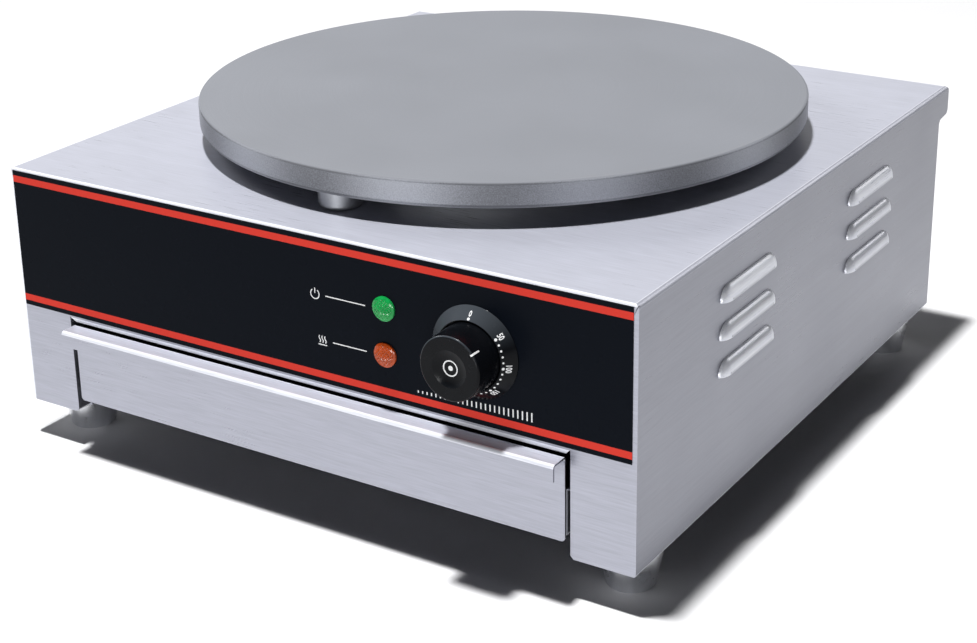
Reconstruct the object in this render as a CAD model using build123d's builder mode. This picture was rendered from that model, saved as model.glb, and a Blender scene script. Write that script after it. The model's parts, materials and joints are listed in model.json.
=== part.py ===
from build123d import *
import os
from math import atan2, cos, degrees, radians, sin, sqrt, tan

os.makedirs("parts", exist_ok=True)

# Electric crepe maker: a round cast iron griddle on three posts over a folded
# stainless casing, with a thermostat, two lamps and a tray drawer in the front.
# Millimetres. +Z is up and the floor is z = 0, +X is the right hand side seen
# from the front, and -Y is the front. X and Y are centred on the whole outline.

# ---------------------------------------------------------------- driving sizes

# Casing sheet metal
body_width = 450.0
body_height = 161.0
body_depth = 446.0
sheet = 1.2
side_bend = 3.0
front_bend = 1.5
corner_slit = 0.4
corner_slit_angle = 24.0
bottom_bend = 1.6
ear_overhang = 16.0
ear_height = 20.0
ear_slope_drop = 1.5
ear_bend = 4.0

# Drawer bay in the front
leg_width = 41.0
opening_height = 62.9
opening_lip = 4.4
opening_lip_slope = 22.0
opening_lip_bend = 1.5
opening_return = 15.0
leg_return = 12.0
leg_corner_cut = 2.0

# Rear frame and back panel
rear_frame = 14.0
back_panel_gap = 0.5
ear_lap = 3.0

# Feet
foot_height = 24.5
foot_top_radius = 19.0
foot_tip_radius = 14.5
foot_tip_round = 1.5
foot_front_depth = 33.0
foot_rear_margin = 34.0
foot_bolt_reach = 14.0

# Griddle and what carries it
griddle_radius = 200.0
griddle_thickness = 16.0
griddle_set_back = 7.0
griddle_gap = 12.0
griddle_top_round = 1.5
griddle_bottom_round = 2.5
pocket_margin = 4.0
plate_wall = 8.0
pocket_round = 4.0
post_radius = 13.5
post_inset = 17.5
post_count = 3
post_round = 3.0
post_bolt_reach = 10.0

# Heater under the griddle
element_radius = 3.5
inner_ring_radius = 58.0
outer_ring_margin = 22.0
element_gap_angle = 30.0
element_leg_length = 36.0
clamp_plate_margin = 18.0
clamp_plate_thickness = 1.5
heater_floor_gap = 0.8
heat_pan_sheet = 1.0
heat_pan_clearance = 0.5
stud_seat = 5.0
leg_hole_clearance = 2.5
bulb_radius = 3.0
bulb_length = 80.0
bulb_gap = 10.5
bulb_round = 1.5
capillary_radius = 1.0
capillary_gap = 5.0
capillary_bend = 8.0

# Front panel fittings
film_thickness = 0.4
film_top_gap = 0.1
film_bottom_gap = 1.0
lamp_x = 63.2
lamp_drop = 35.9
lamp_pitch = 28.4
lamp_rim_radius = 7.5
lamp_rim_thickness = 1.1
lamp_rim_step = 0.6
lamp_dome_height = 2.9
lamp_body_radius = 6.0
lamp_body_length = 25.0
dial_x = 124.0
dial_drop = 49.0
bezel_radius = 28.0
bezel_inner_radius = 21.3
bezel_height = 7.2
bezel_base = 2.0
bezel_wall = 0.6
knob_reach = 27.0
knob_gap = 0.5
knob_taper = 0.9
knob_edge_round = 1.3
knob_dish_radius = 11.0
knob_dish_depth = 1.8
knob_wall = 2.2
knob_hub_radius = 7.0
knob_hollow_depth = 12.0
knob_bore_depth = 14.0
pointer_angle = 52.0
pointer_width = 1.2
pointer_depth = 0.35
pointer_length = 7.5
pointer_face_length = 2.5
shaft_radius = 3.0
shaft_flat = 0.9
shaft_seat = 12.0
thermostat_width = 44.0
thermostat_body_height = 38.0
thermostat_length = 30.0
knob_screw_gap = 0.4
thermostat_round = 3.0
blade_width = 6.3
blade_thickness = 0.8
blade_length = 8.0
lamp_spigot_radius = 4.5
lamp_spigot_length = 4.0
lamp_nut_thickness = 4.0
lamp_nut_margin = 2.2

# Side louvres
louvre_length = 72.0
louvre_height = 9.0
louvre_reach = 4.5
louvre_pitch = 23.0
louvre_drop = 34.0
louvre_rows = 3
louvre_front_depth = 133.0
louvre_rear_margin = 128.0

# Drawer and its rails
drawer_side_gap = 3.5
drawer_bottom = 9.4
drawer_top_gap = 0.8
handle_reach = 12.5
handle_drop = 10.1
handle_bend = 1.6
tray_sheet = 1.0
tray_inset = 0.5
tray_rear_room = 44.8
tray_rise = 1.2
tray_height = 30.0
tray_flange_gap = 0.8
tray_round = 3.0
drawer_corner = 2.5
rail_tray_gap = 1.0
rail_bolt_gap = 1.8
rail_lip = 4.0
rail_front_drop = 4.0
rail_stop_height = 6.0
rail_screw_end = 64.0
rail_screw_count = 3

# Shelf that carries the electrics above the drawer
shelf_sheet = 1.0
shelf_upstand = 10.0
shelf_bend = 2.0
shelf_rear_gap = 3.0

# Back panel fittings
gland_spacing = 35.0
gland_radius = 10.0
cord_radius = 4.5
gland_hex = 25.0
gland_flange = 5.0
gland_nut_length = 11.0
gland_nut_tip = 8.0
gland_nut_round = 1.0
gland_thread_length = 12.0
gland_locknut_length = 4.0
earth_margin = 24.8
earth_height = 45.0
earth_reach = 14.0
earth_neck_length = 1.0
earth_neck_depth = 0.4
vent_length = 60.0
vent_width = 5.0
vent_pitch = 13.0
vent_spacing = 80.0
vent_rows = 3
terminal_block_width = 44.0
terminal_block_depth = 22.0
terminal_block_height = 18.0
terminal_block_offset = 30.0
terminal_block_from_back = 55.0
terminal_ways = 3
terminal_well_depth = 6.0
block_screw_gap = 1.4
block_ear_height = 6.0

# Fasteners
m4_radius = 2.0
m4_head = 3.6
m4_head_height = 2.4
m6_radius = 3.0
m8_radius = 4.0
nut_share = 1.9
nut_height_share = 1.07
washer_share = 2.0
washer_thickness = 1.6

# Clearances
thread_gap = 0.06
screw_gap = 0.3
running_gap = 0.06
rest_gap = 0.3

# ------------------------------------------------------------- places from them

casing_bottom = foot_height
casing_top = casing_bottom + body_height
griddle_under = casing_top + griddle_gap
griddle_top = griddle_under + griddle_thickness
pocket_ceiling = griddle_top - plate_wall
rear_reach = max(ear_overhang, gland_flange + gland_nut_length)
front_y = (knob_reach - body_depth - rear_reach) / 2
back_y = front_y + body_depth
rear_y = back_y + ear_overhang
half_width = body_width / 2
half_opening = half_width - leg_width
griddle_y = (front_y + back_y) / 2 + griddle_set_back
griddle_axis = Axis((0, griddle_y, 0), (0, 0, 1))
ear_bottom = casing_top - ear_height
ear_root = ear_bottom - ear_slope_drop
back_panel_top = ear_root - ear_lap
leg_centre = (half_width + half_opening) / 2
dial_height = body_height - dial_drop
lamp_heights = (body_height - lamp_drop, body_height - lamp_drop - lamp_pitch)
lamp_dome_radius = lamp_rim_radius - lamp_rim_step
bezel_face = -film_thickness - bezel_base
knob_back = bezel_face - rest_gap
knob_base_radius = bezel_inner_radius - bezel_wall - knob_gap
knob_face_radius = knob_base_radius - knob_taper
knob_hollow_radius = knob_base_radius - knob_wall
thermostat_screw_spacing = 2 * (knob_hollow_radius - knob_screw_gap - m4_head)
film_top = body_height - front_bend - film_top_gap
film_bottom = opening_height + opening_lip + film_bottom_gap
lip_setback = opening_lip * tan(radians(opening_lip_slope))
shelf_under = casing_bottom + opening_height + sheet
shelf_top = shelf_under + shelf_sheet
drawer_half = half_opening - drawer_side_gap
drawer_top = opening_height - drawer_top_gap
drawer_floor = casing_bottom + drawer_bottom + tray_rise
tray_half = drawer_half - tray_inset
tray_length = body_depth - sheet - tray_rear_room
tray_rim = drawer_floor + tray_height
post_circle = griddle_radius - post_inset
pocket_radius = post_circle - post_radius - pocket_margin
clamp_plate_radius = pocket_radius - clamp_plate_margin
outer_ring_radius = clamp_plate_radius - outer_ring_margin
stud_circle = (inner_ring_radius + outer_ring_radius) / 2
heater_nut_height = m6_radius * nut_height_share
clamp_bottom = pocket_ceiling - 2 * element_radius - clamp_plate_thickness
heat_pan_bottom = casing_top + heater_floor_gap + heater_nut_height
insulation_bottom = heat_pan_bottom + heat_pan_sheet
bulb_offset = -(inner_ring_radius + element_radius + bulb_gap + bulb_radius)
capillary_circle = outer_ring_radius - element_radius - capillary_radius - capillary_gap
capillary_place = (sqrt(capillary_circle**2 - bulb_offset**2), bulb_offset)
rail_ledge = half_opening - tray_half - rail_tray_gap
rail_foot = leg_width / 2 - m6_radius * nut_share - rail_bolt_gap
earth_x = earth_margin + rear_frame + sheet - half_width
gland_x = earth_x + gland_spacing
terminal_block_place = (gland_x + terminal_block_offset, back_y - terminal_block_from_back)
block_screw_spacing = terminal_block_width + 2 * (m4_head + block_screw_gap)
gland_height = (shelf_top + back_panel_top) / 2 - casing_bottom


def front_plane(depth):
    """Upright plane, depth behind the front panel's face, that looks forwards."""
    return Plane.XZ.offset(-(front_y + depth))


def back_plane(depth):
    """Upright plane, depth behind the front panel's face, that looks backwards."""
    return Plane(origin=(0, front_y + depth, 0), x_dir=(-1, 0, 0), z_dir=(0, 1, 0))


def griddle_plane(height):
    """Level plane whose origin is on the griddle's own axis."""
    return Plane(origin=(0, griddle_y, height))


def radial_plane(angle):
    """Upright plane through the griddle's axis, X outwards at angle, Y upwards."""
    turn = radians(angle)
    return Plane(
        origin=(0, griddle_y, 0),
        x_dir=(cos(turn), sin(turn), 0),
        z_dir=(sin(turn), -cos(turn), 0),
    )


def fitting_plane(x, height):
    """Level plane through a front fitting: X is its radius, Y its depth."""
    return Plane(origin=(x, front_y, casing_bottom + height))


def fitting_axis(x, height):
    """Axis of a front fitting, square to the front panel."""
    return Axis((x, front_y, casing_bottom + height), (0, 1, 0))


def polar(radius, angle):
    """Plan place at radius and angle from the griddle's axis."""
    return (radius * cos(radians(angle)), radius * sin(radians(angle)))


def front_holes(mode=Mode.ADD):
    """Holes for the lamps, the shaft and the thermostat's two screws."""
    with Locations(*[(lamp_x, casing_bottom + height) for height in lamp_heights]):
        Circle(lamp_body_radius + screw_gap, mode=mode)
    with Locations((dial_x, casing_bottom + dial_height)):
        Circle(shaft_radius + 2 * screw_gap, mode=mode)
        with GridLocations(thermostat_screw_spacing, 0, 2, 1):
            Circle(m4_radius + screw_gap, mode=mode)


# ------------------------------------------------------------------ outer casing


def casing_form(inset):
    """Closed form of the casing with every face moved inwards by inset.

    It is where three outlines meet, so the bent edges run into each other as
    mitred folds.
    """
    slope = atan2(ear_slope_drop, ear_overhang)
    slope_rise = inset * (1 / cos(slope) - tan(slope))
    front, back, rear = front_y + inset, back_y - inset, rear_y - inset
    bottom, top = casing_bottom + inset, casing_top - inset
    with BuildPart() as form:
        with BuildSketch(Plane.YZ):
            with BuildLine():
                FilletPolyline(
                    (front, bottom),
                    (front, top),
                    (rear, top),
                    (rear, ear_bottom + slope_rise),
                    (back, ear_root + slope_rise),
                    (back, bottom),
                    radius=[
                        0,
                        max(front_bend - inset, 0),
                        ear_bend - inset,
                        ear_bend - inset,
                        ear_bend + inset,
                        0,
                    ],
                    close=True,
                )
            make_face()
        extrude(amount=half_width, both=True)
        with BuildSketch(Plane.XZ):
            with BuildLine():
                FilletPolyline(
                    (inset - half_width, bottom),
                    (inset - half_width, top),
                    (half_width - inset, top),
                    (half_width - inset, bottom),
                    radius=[
                        bottom_bend - inset,
                        side_bend - inset,
                        side_bend - inset,
                        bottom_bend - inset,
                    ],
                    close=True,
                )
            make_face()
        extrude(amount=body_depth, both=True, mode=Mode.INTERSECT)
        with BuildSketch(Plane.XY):
            with BuildLine():
                FilletPolyline(
                    (inset - half_width, front),
                    (inset - half_width, rear_y + ear_overhang),
                    (half_width - inset, rear_y + ear_overhang),
                    (half_width - inset, front),
                    radius=[side_bend - inset, 0, 0, side_bend - inset],
                    close=True,
                )
            make_face()
        extrude(amount=griddle_top, mode=Mode.INTERSECT)
    return form.part


def hood_section(y, reach, height):
    """Quarter ellipse section of a louvre hood at y, its back on the wall."""
    with BuildSketch(Plane.XZ.offset(-y)) as section:
        with BuildLine():
            EllipticalCenterArc((0, 0), reach, height, start_angle=0, arc_size=90)
            Line((0, height), (0, 0))
            Line((0, 0), (reach, 0))
        make_face()
    return section.sketch


def louvre(reach, height, length):
    """Solid of one pressed louvre hood, open side down, on the plane x = 0.

    A quarter ellipse runs along the hood and turns into the wall at each end.
    """
    straight = length / 2 - height
    with BuildPart() as hood:
        extrude(hood_section(-straight, reach, height), amount=-2 * straight)
        for end, turn in ((-straight, 90), (straight, -90)):
            section = hood_section(end, reach, height)
            revolve(section, axis=Axis((0, end, 0), (1, 0, 0)), revolution_arc=turn)
    return hood.part


def folded_lip():
    """Lip folded in and back along the top of the drawer opening, with mitred ends."""
    lip_bottom = casing_bottom + opening_height
    lip_top = lip_bottom + opening_lip
    middle = front_y + sheet / 2
    with BuildPart() as lip:
        with BuildSketch(Plane.YZ):
            with BuildLine():
                FilletPolyline(
                    (middle, lip_top + sheet),
                    (middle, lip_top - opening_lip_bend / 2),
                    (middle + lip_setback, lip_bottom + sheet / 2),
                    (front_y + opening_return, lip_bottom + sheet / 2),
                    radius=opening_lip_bend,
                )
            trace(line_width=sheet)
        extrude(amount=half_opening, both=True)
        with BuildSketch(front_plane(0)):
            Polygon(
                (-half_opening, lip_top + sheet),
                (-half_opening, lip_top),
                (opening_lip - half_opening, lip_bottom),
                (half_opening - opening_lip, lip_bottom),
                (half_opening, lip_top),
                (half_opening, lip_top + sheet),
                align=None,
            )
        extrude(amount=-opening_return, mode=Mode.INTERSECT)
    return lip.part


hood_outer = louvre(louvre_reach, louvre_height, louvre_length)
hood_inner = louvre(
    louvre_reach - sheet, louvre_height - sheet, louvre_length - 2 * sheet
)
louvre_places = [
    (y, body_height - louvre_drop - row * louvre_pitch)
    for y in (front_y + louvre_front_depth, back_y - louvre_rear_margin)
    for row in range(louvre_rows)
]
post_angles = [360 / post_count * n - 90 for n in range(post_count)]
foot_places = [
    (side * leg_centre, front_y + depth)
    for depth in (foot_front_depth, body_depth - foot_rear_margin)
    for side in (-1, 1)
]
rail_start = leg_return + rest_gap
rail_stop = sheet + tray_length - tray_round + rest_gap
rail_middle = (rail_start + rail_stop + sheet) / 2
rail_screw_spread = (rail_stop + sheet - rail_start) / 2 - rail_screw_end
rail_screw_step = 2 * rail_screw_spread / (rail_screw_count - 1)
rail_screw_places = [
    (side * (half_opening + (sheet + rail_foot) / 2), front_y + rail_middle + along)
    for side in (-1, 1)
    for along in [n * rail_screw_step - rail_screw_spread for n in range(rail_screw_count)]
]
frame_x = half_width - sheet - rear_frame / 2
frame_low = casing_bottom + sheet + rear_frame / 2
frame_high = back_panel_top - rear_frame / 2
back_screw_places = [
    (x, z) for x in (-frame_x, 0, frame_x) for z in (frame_low, frame_high)
]


def leg_places(ring_radius):
    """Plan places of an element's two ends, from the griddle's axis."""
    return [polar(ring_radius, 90 + side * element_gap_angle / 2) for side in (-1, 1)]


terminal_pitch = terminal_block_width / terminal_ways
foot_names = ("foot_front_left", "foot_front_right", "foot_rear_left", "foot_rear_right")
element_legs = leg_places(inner_ring_radius) + leg_places(outer_ring_radius)
leg_hole_radius = element_radius + leg_hole_clearance
stud_places = [polar(stud_circle, angle) for angle in post_angles]
capillary_hole = capillary_radius + leg_hole_clearance

with BuildPart() as outer_casing:
    add(casing_form(0))
    add(casing_form(sheet), mode=Mode.SUBTRACT)
    # drawer opening, with the inner corners of the legs cut off
    with BuildSketch(front_plane(0)):
        Polygon(
            (-half_opening - leg_corner_cut, casing_bottom),
            (-half_opening, casing_bottom + leg_corner_cut),
            (-half_opening, casing_bottom + opening_height + opening_lip),
            (half_opening, casing_bottom + opening_height + opening_lip),
            (half_opening, casing_bottom + leg_corner_cut),
            (half_opening + leg_corner_cut, casing_bottom),
            align=None,
        )
    extrude(amount=-sheet, mode=Mode.SUBTRACT)
    # open underside between the two foot flanges and the rear frame
    with BuildSketch(Plane.XY.offset(casing_bottom)):
        with Locations((0, (front_y + back_y - 2 * sheet - rear_frame) / 2)):
            Rectangle(2 * half_opening, body_depth - 2 * sheet - rear_frame)
    extrude(amount=sheet, mode=Mode.SUBTRACT)
    add(folded_lip())
    # returns behind the inner edges of the legs
    with BuildSketch(Plane.XY.offset(casing_bottom)):
        with Locations(
            *[
                (side * (half_opening + sheet / 2), front_y + (leg_return + sheet / 2) / 2)
                for side in (-1, 1)
            ]
        ):
            Rectangle(sheet, leg_return - sheet / 2)
    extrude(amount=opening_height)
    with BuildSketch(front_plane(0)):
        with Locations(
            *[(side * half_opening, casing_bottom) for side in (-1, 1)]
        ):
            Rectangle(leg_corner_cut * sqrt(2), leg_corner_cut * sqrt(2), rotation=45)
    extrude(amount=-leg_return, mode=Mode.SUBTRACT)
    # the rear wall becomes a frame, and the back panel lies in a step of it
    with BuildSketch(back_plane(body_depth - 2 * sheet)):
        with Locations((0, (casing_bottom + back_panel_top) / 2)):
            Rectangle(
                body_width - 2 * sheet,
                back_panel_top - casing_bottom,
            )
    extrude(amount=sheet)
    with BuildSketch(back_plane(body_depth - sheet)):
        with Locations((0, (casing_bottom + back_panel_top) / 2)):
            Rectangle(
                body_width - 2 * sheet,
                back_panel_top - casing_bottom + 2 * back_panel_gap,
            )
    extrude(amount=2 * sheet, mode=Mode.SUBTRACT)
    with BuildSketch(back_plane(body_depth - 3 * sheet)):
        with Locations((0, (frame_low + frame_high) / 2)):
            Rectangle(2 * frame_x - rear_frame, frame_high - frame_low - rear_frame)
    extrude(amount=3 * sheet, mode=Mode.SUBTRACT)
    with BuildSketch(back_plane(body_depth - 2 * sheet)):
        with Locations(*[(-x, z) for x, z in back_screw_places]):
            Circle(m4_radius + thread_gap)
    extrude(amount=sheet, mode=Mode.SUBTRACT)
    # lamp, shaft and thermostat screw holes
    with BuildSketch(front_plane(0)):
        front_holes()
    extrude(amount=-sheet, mode=Mode.SUBTRACT)
    # holes in the top: posts, element ends and capillary
    with BuildSketch(griddle_plane(casing_top)):
        with Locations(*[polar(post_circle, angle) for angle in post_angles]):
            Circle(m8_radius + screw_gap)
        with Locations(*element_legs):
            Circle(leg_hole_radius)
        with Locations(capillary_place):
            Circle(capillary_hole)
    extrude(amount=-sheet, mode=Mode.SUBTRACT)
    # bolt holes for the feet and screw holes for the rails
    with BuildSketch(Plane.XY.offset(casing_bottom)):
        with Locations(*foot_places):
            Circle(m6_radius + screw_gap)
        with Locations(*rail_screw_places):
            Circle(m4_radius + screw_gap)
    extrude(amount=sheet, mode=Mode.SUBTRACT)
    # louvres: a slot in the side wall under each pressed hood
    for side in (-1, 1):
        for y, height in louvre_places:
            place = Location((side * half_width, y, casing_bottom + height))
            turn = Rotation(0, 0, 0 if side > 0 else 180)
            add(place * turn * hood_outer)
            add(place * turn * hood_inner, mode=Mode.SUBTRACT)
            with BuildSketch(Plane.YZ.offset(side * (half_width - sheet / 2))):
                with Locations((y, casing_bottom + height + (louvre_height - sheet) / 4)):
                    Rectangle(
                        louvre_length - 2 * louvre_height,
                        (louvre_height - sheet) / 2,
                    )
            extrude(amount=sheet, both=True, mode=Mode.SUBTRACT)
    # relief slit where the three folds meet at each front top corner
    for side in (-1, 1):
        with BuildSketch(front_plane(0)):
            with Locations((side * (half_width - side_bend / 2), casing_top - side_bend)):
                Rectangle(corner_slit, 2 * side_bend, rotation=-side * corner_slit_angle)
        extrude(amount=-2 * sheet, mode=Mode.SUBTRACT)
outer_casing.part.label = "outer_casing"
export_step(outer_casing.part, "parts/outer_casing.step")

# --------------------------------------------------------------- front fittings

with BuildPart() as control_panel_film:
    with BuildSketch(front_plane(0)):
        with Locations((0, casing_bottom + (film_top + film_bottom) / 2)):
            Rectangle(body_width - 2 * side_bend, film_top - film_bottom)
        front_holes(Mode.SUBTRACT)
    extrude(amount=film_thickness)
control_panel_film.part.label = "control_panel_film"
export_step(control_panel_film.part, "parts/control_panel_film.step")

for lamp_name, lamp_height in zip(("power_lamp", "heat_lamp"), lamp_heights):
    # lens: a thin rim, a low dome and a spigot that plugs into the lamp body
    with BuildPart() as lamp_lens:
        with BuildSketch(fitting_plane(lamp_x, lamp_height)):
            with BuildLine():
                rim_face = -film_thickness - lamp_rim_thickness
                dome_top = -film_thickness - lamp_dome_height
                dome_edge = (lamp_dome_radius, rim_face - lamp_rim_thickness / 3)
                Polyline(
                    (0, dome_top),
                    (0, lamp_spigot_length),
                    (lamp_spigot_radius, lamp_spigot_length),
                    (lamp_spigot_radius, -film_thickness),
                    (lamp_rim_radius, -film_thickness),
                    (lamp_rim_radius, rim_face),
                    dome_edge,
                )
                TangentArc((0, dome_top), dome_edge, tangent=(1, 0))
            make_face()
        revolve(axis=fitting_axis(lamp_x, lamp_height))
    lamp_lens.part.label = f"{lamp_name}_lens"
    export_step(lamp_lens.part, f"parts/{lamp_name}_lens.step")

    # body: a blind tube behind the panel with two blades at its back
    with BuildPart() as lamp_body:
        with BuildSketch(fitting_plane(lamp_x, lamp_height)):
            Polygon(
                (0, lamp_body_length),
                (lamp_body_radius, lamp_body_length),
                (lamp_body_radius, -film_thickness),
                (lamp_spigot_radius + thread_gap, -film_thickness),
                (lamp_spigot_radius + thread_gap, lamp_spigot_length + rest_gap),
                (0, lamp_spigot_length + rest_gap),
                align=None,
            )
        revolve(axis=fitting_axis(lamp_x, lamp_height))
        with BuildSketch(front_plane(lamp_body_length)):
            with Locations((lamp_x, casing_bottom + lamp_height)):
                with GridLocations(0, lamp_body_radius, 1, 2):
                    Rectangle(blade_width, blade_thickness)
        extrude(amount=-blade_length)
    lamp_body.part.label = f"{lamp_name}_body"
    export_step(lamp_body.part, f"parts/{lamp_name}_body.step")

# push-on nuts behind the panel
with BuildPart() as lamp_nuts:
    with BuildSketch(front_plane(sheet)):
        with Locations(*[(lamp_x, casing_bottom + height) for height in lamp_heights]):
            RegularPolygon(lamp_body_radius + lamp_nut_margin, 6)
            Circle(lamp_body_radius + thread_gap, mode=Mode.SUBTRACT)
    extrude(amount=-lamp_nut_thickness)
lamp_nuts.part.label = "lamp_nuts"
export_step(lamp_nuts.part, "parts/lamp_nuts.step")

# conical dial ring; the knob's skirt turns in the well inside it
with BuildPart() as dial_bezel:
    with BuildSketch(fitting_plane(dial_x, dial_height)):
        with BuildLine():
            FilletPolyline(
                (shaft_radius + 2 * screw_gap, -film_thickness),
                (bezel_radius, -film_thickness),
                (bezel_radius, -film_thickness - bezel_wall),
                (bezel_inner_radius, -film_thickness - bezel_height),
                (bezel_inner_radius - bezel_wall, -film_thickness - bezel_height),
                (bezel_inner_radius - bezel_wall, bezel_face),
                (shaft_radius + 2 * screw_gap, bezel_face),
                radius=[0, 0, bezel_wall / 2, bezel_wall / 4, bezel_wall / 4, 0, 0],
                close=True,
            )
        make_face()
    revolve(axis=fitting_axis(dial_x, dial_height))
    with BuildSketch(front_plane(0)):
        with Locations((dial_x, casing_bottom + dial_height)):
            with GridLocations(thermostat_screw_spacing, 0, 2, 1):
                Circle(m4_radius + screw_gap)
    extrude(amount=bezel_height, mode=Mode.SUBTRACT)
dial_bezel.part.label = "dial_bezel"
export_step(dial_bezel.part, "parts/dial_bezel.step")

with BuildPart() as control_knob:
    # tapered barrel with a finger dish in its face
    with BuildSketch(fitting_plane(dial_x, dial_height)):
        with BuildLine():
            FilletPolyline(
                (knob_dish_radius, -knob_reach),
                (knob_face_radius, -knob_reach),
                (knob_base_radius, knob_back),
                (0, knob_back),
                radius=[knob_edge_round, 0],
            )
            Line((0, knob_back), (0, knob_dish_depth - knob_reach))
            TangentArc(
                (0, knob_dish_depth - knob_reach),
                (knob_dish_radius, -knob_reach),
                tangent=(1, 0),
            )
        make_face()
    revolve(axis=fitting_axis(dial_x, dial_height))
    # hollow skirt round the hub
    with BuildSketch(front_plane(knob_back)):
        with Locations((dial_x, casing_bottom + dial_height)):
            Circle(knob_hollow_radius)
            Circle(knob_hub_radius, mode=Mode.SUBTRACT)
    extrude(amount=knob_hollow_depth, mode=Mode.SUBTRACT)
    # D-shaped bore for the shaft
    with BuildSketch(front_plane(knob_back)):
        with Locations((dial_x, casing_bottom + dial_height)):
            Circle(shaft_radius + thread_gap)
            with Locations((0, 2 * shaft_radius - shaft_flat + thread_gap)):
                Rectangle(4 * shaft_radius, 2 * shaft_radius, mode=Mode.SUBTRACT)
    extrude(amount=knob_bore_depth, mode=Mode.SUBTRACT)
    # pointer groove over the edge of the face
    with BuildSketch(front_plane(-knob_reach)):
        with Locations((dial_x, casing_bottom + dial_height)):
            with PolarLocations(knob_face_radius, 1, start_angle=90 - pointer_angle):
                Rectangle(2 * pointer_face_length, pointer_width)
    extrude(amount=-pointer_depth, mode=Mode.SUBTRACT)
    with BuildSketch(front_plane(-knob_reach)):
        with Locations((dial_x, casing_bottom + dial_height)):
            with PolarLocations(
                knob_face_radius + pointer_width - pointer_depth,
                1,
                start_angle=90 - pointer_angle,
            ):
                Rectangle(2 * pointer_width, pointer_width)
    extrude(amount=-pointer_length, mode=Mode.SUBTRACT)
control_knob.part.label = "control_knob"
export_step(control_knob.part, "parts/control_knob.step")

with BuildPart() as thermostat_shaft:
    with BuildSketch(front_plane(sheet + shaft_seat)):
        with Locations((dial_x, casing_bottom + dial_height)):
            Circle(shaft_radius)
    extrude(amount=sheet + shaft_seat - knob_back + knob_bore_depth - rest_gap)
    with BuildSketch(front_plane(knob_back)):
        with Locations(
            (dial_x, casing_bottom + dial_height + 2 * shaft_radius - shaft_flat)
        ):
            Rectangle(4 * shaft_radius, 2 * shaft_radius)
    extrude(amount=knob_bore_depth, mode=Mode.SUBTRACT)
thermostat_shaft.part.label = "thermostat_shaft"
export_step(thermostat_shaft.part, "parts/thermostat_shaft.step")

with BuildPart() as thermostat_body:
    with BuildSketch(front_plane(sheet)):
        with Locations((dial_x, casing_bottom + dial_height)):
            RectangleRounded(thermostat_width, thermostat_body_height, thermostat_round)
    extrude(amount=-thermostat_length)
    with BuildSketch(front_plane(sheet)):
        with Locations((dial_x, casing_bottom + dial_height)):
            Circle(shaft_radius + running_gap)
    extrude(amount=-shaft_seat - rest_gap, mode=Mode.SUBTRACT)
    with BuildSketch(front_plane(sheet)):
        with Locations((dial_x, casing_bottom + dial_height)):
            with GridLocations(thermostat_screw_spacing, 0, 2, 1):
                Circle(m4_radius + thread_gap)
    extrude(amount=-shaft_seat, mode=Mode.SUBTRACT)
    with BuildSketch(front_plane(sheet + thermostat_length)):
        with Locations((dial_x, casing_bottom + dial_height)):
            with GridLocations(thermostat_width / 3, 0, 3, 1):
                Rectangle(blade_thickness, blade_width)
    extrude(amount=-blade_length)
thermostat_body.part.label = "thermostat_body"
export_step(thermostat_body.part, "parts/thermostat_body.step")

with BuildPart() as thermostat_screws:
    with BuildSketch(front_plane(bezel_face)):
        with Locations((dial_x, casing_bottom + dial_height)):
            with GridLocations(thermostat_screw_spacing, 0, 2, 1):
                Circle(m4_head)
    extrude(amount=m4_head_height)
    with BuildSketch(front_plane(bezel_face)):
        with Locations((dial_x, casing_bottom + dial_height)):
            with GridLocations(thermostat_screw_spacing, 0, 2, 1):
                Circle(m4_radius)
    extrude(amount=bezel_face - shaft_seat)
thermostat_screws.part.label = "thermostat_screws"
export_step(thermostat_screws.part, "parts/thermostat_screws.step")

# --------------------------------------------------------------------- griddle

with BuildPart() as griddle_plate:
    with BuildSketch(radial_plane(0)):
        with BuildLine():
            FilletPolyline(
                (0, pocket_ceiling),
                (pocket_radius, pocket_ceiling),
                (pocket_radius, griddle_under),
                (griddle_radius, griddle_under),
                (griddle_radius, griddle_top),
                (0, griddle_top),
                radius=[0, pocket_round, 0, griddle_bottom_round, griddle_top_round, 0],
                close=True,
            )
        make_face()
    revolve(axis=griddle_axis)
    with BuildSketch(griddle_plane(griddle_under)):
        with Locations(*[polar(post_circle, angle) for angle in post_angles]):
            Circle(m8_radius + thread_gap)
    extrude(amount=post_bolt_reach + rest_gap, mode=Mode.SUBTRACT)
    with BuildSketch(griddle_plane(pocket_ceiling)):
        with Locations(*stud_places):
            Circle(m6_radius + thread_gap)
    extrude(amount=stud_seat + rest_gap, mode=Mode.SUBTRACT)
griddle_plate.part.label = "griddle_plate"
export_step(griddle_plate.part, "parts/griddle_plate.step")

for number, angle in enumerate(post_angles, 1):
    with BuildPart() as griddle_post:
        with BuildSketch(griddle_plane(casing_top)):
            with Locations(polar(post_circle, angle)):
                Circle(post_radius)
                Circle(m8_radius + screw_gap, mode=Mode.SUBTRACT)
        extrude(amount=griddle_gap)
        foot_edges = griddle_post.edges().filter_by(GeomType.CIRCLE).group_by(Axis.Z)[0]
        fillet(foot_edges.sort_by(SortBy.RADIUS)[-1], post_round)
    griddle_post.part.label = f"griddle_post_{number}"
    export_step(griddle_post.part, f"parts/griddle_post_{number}.step")

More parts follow.
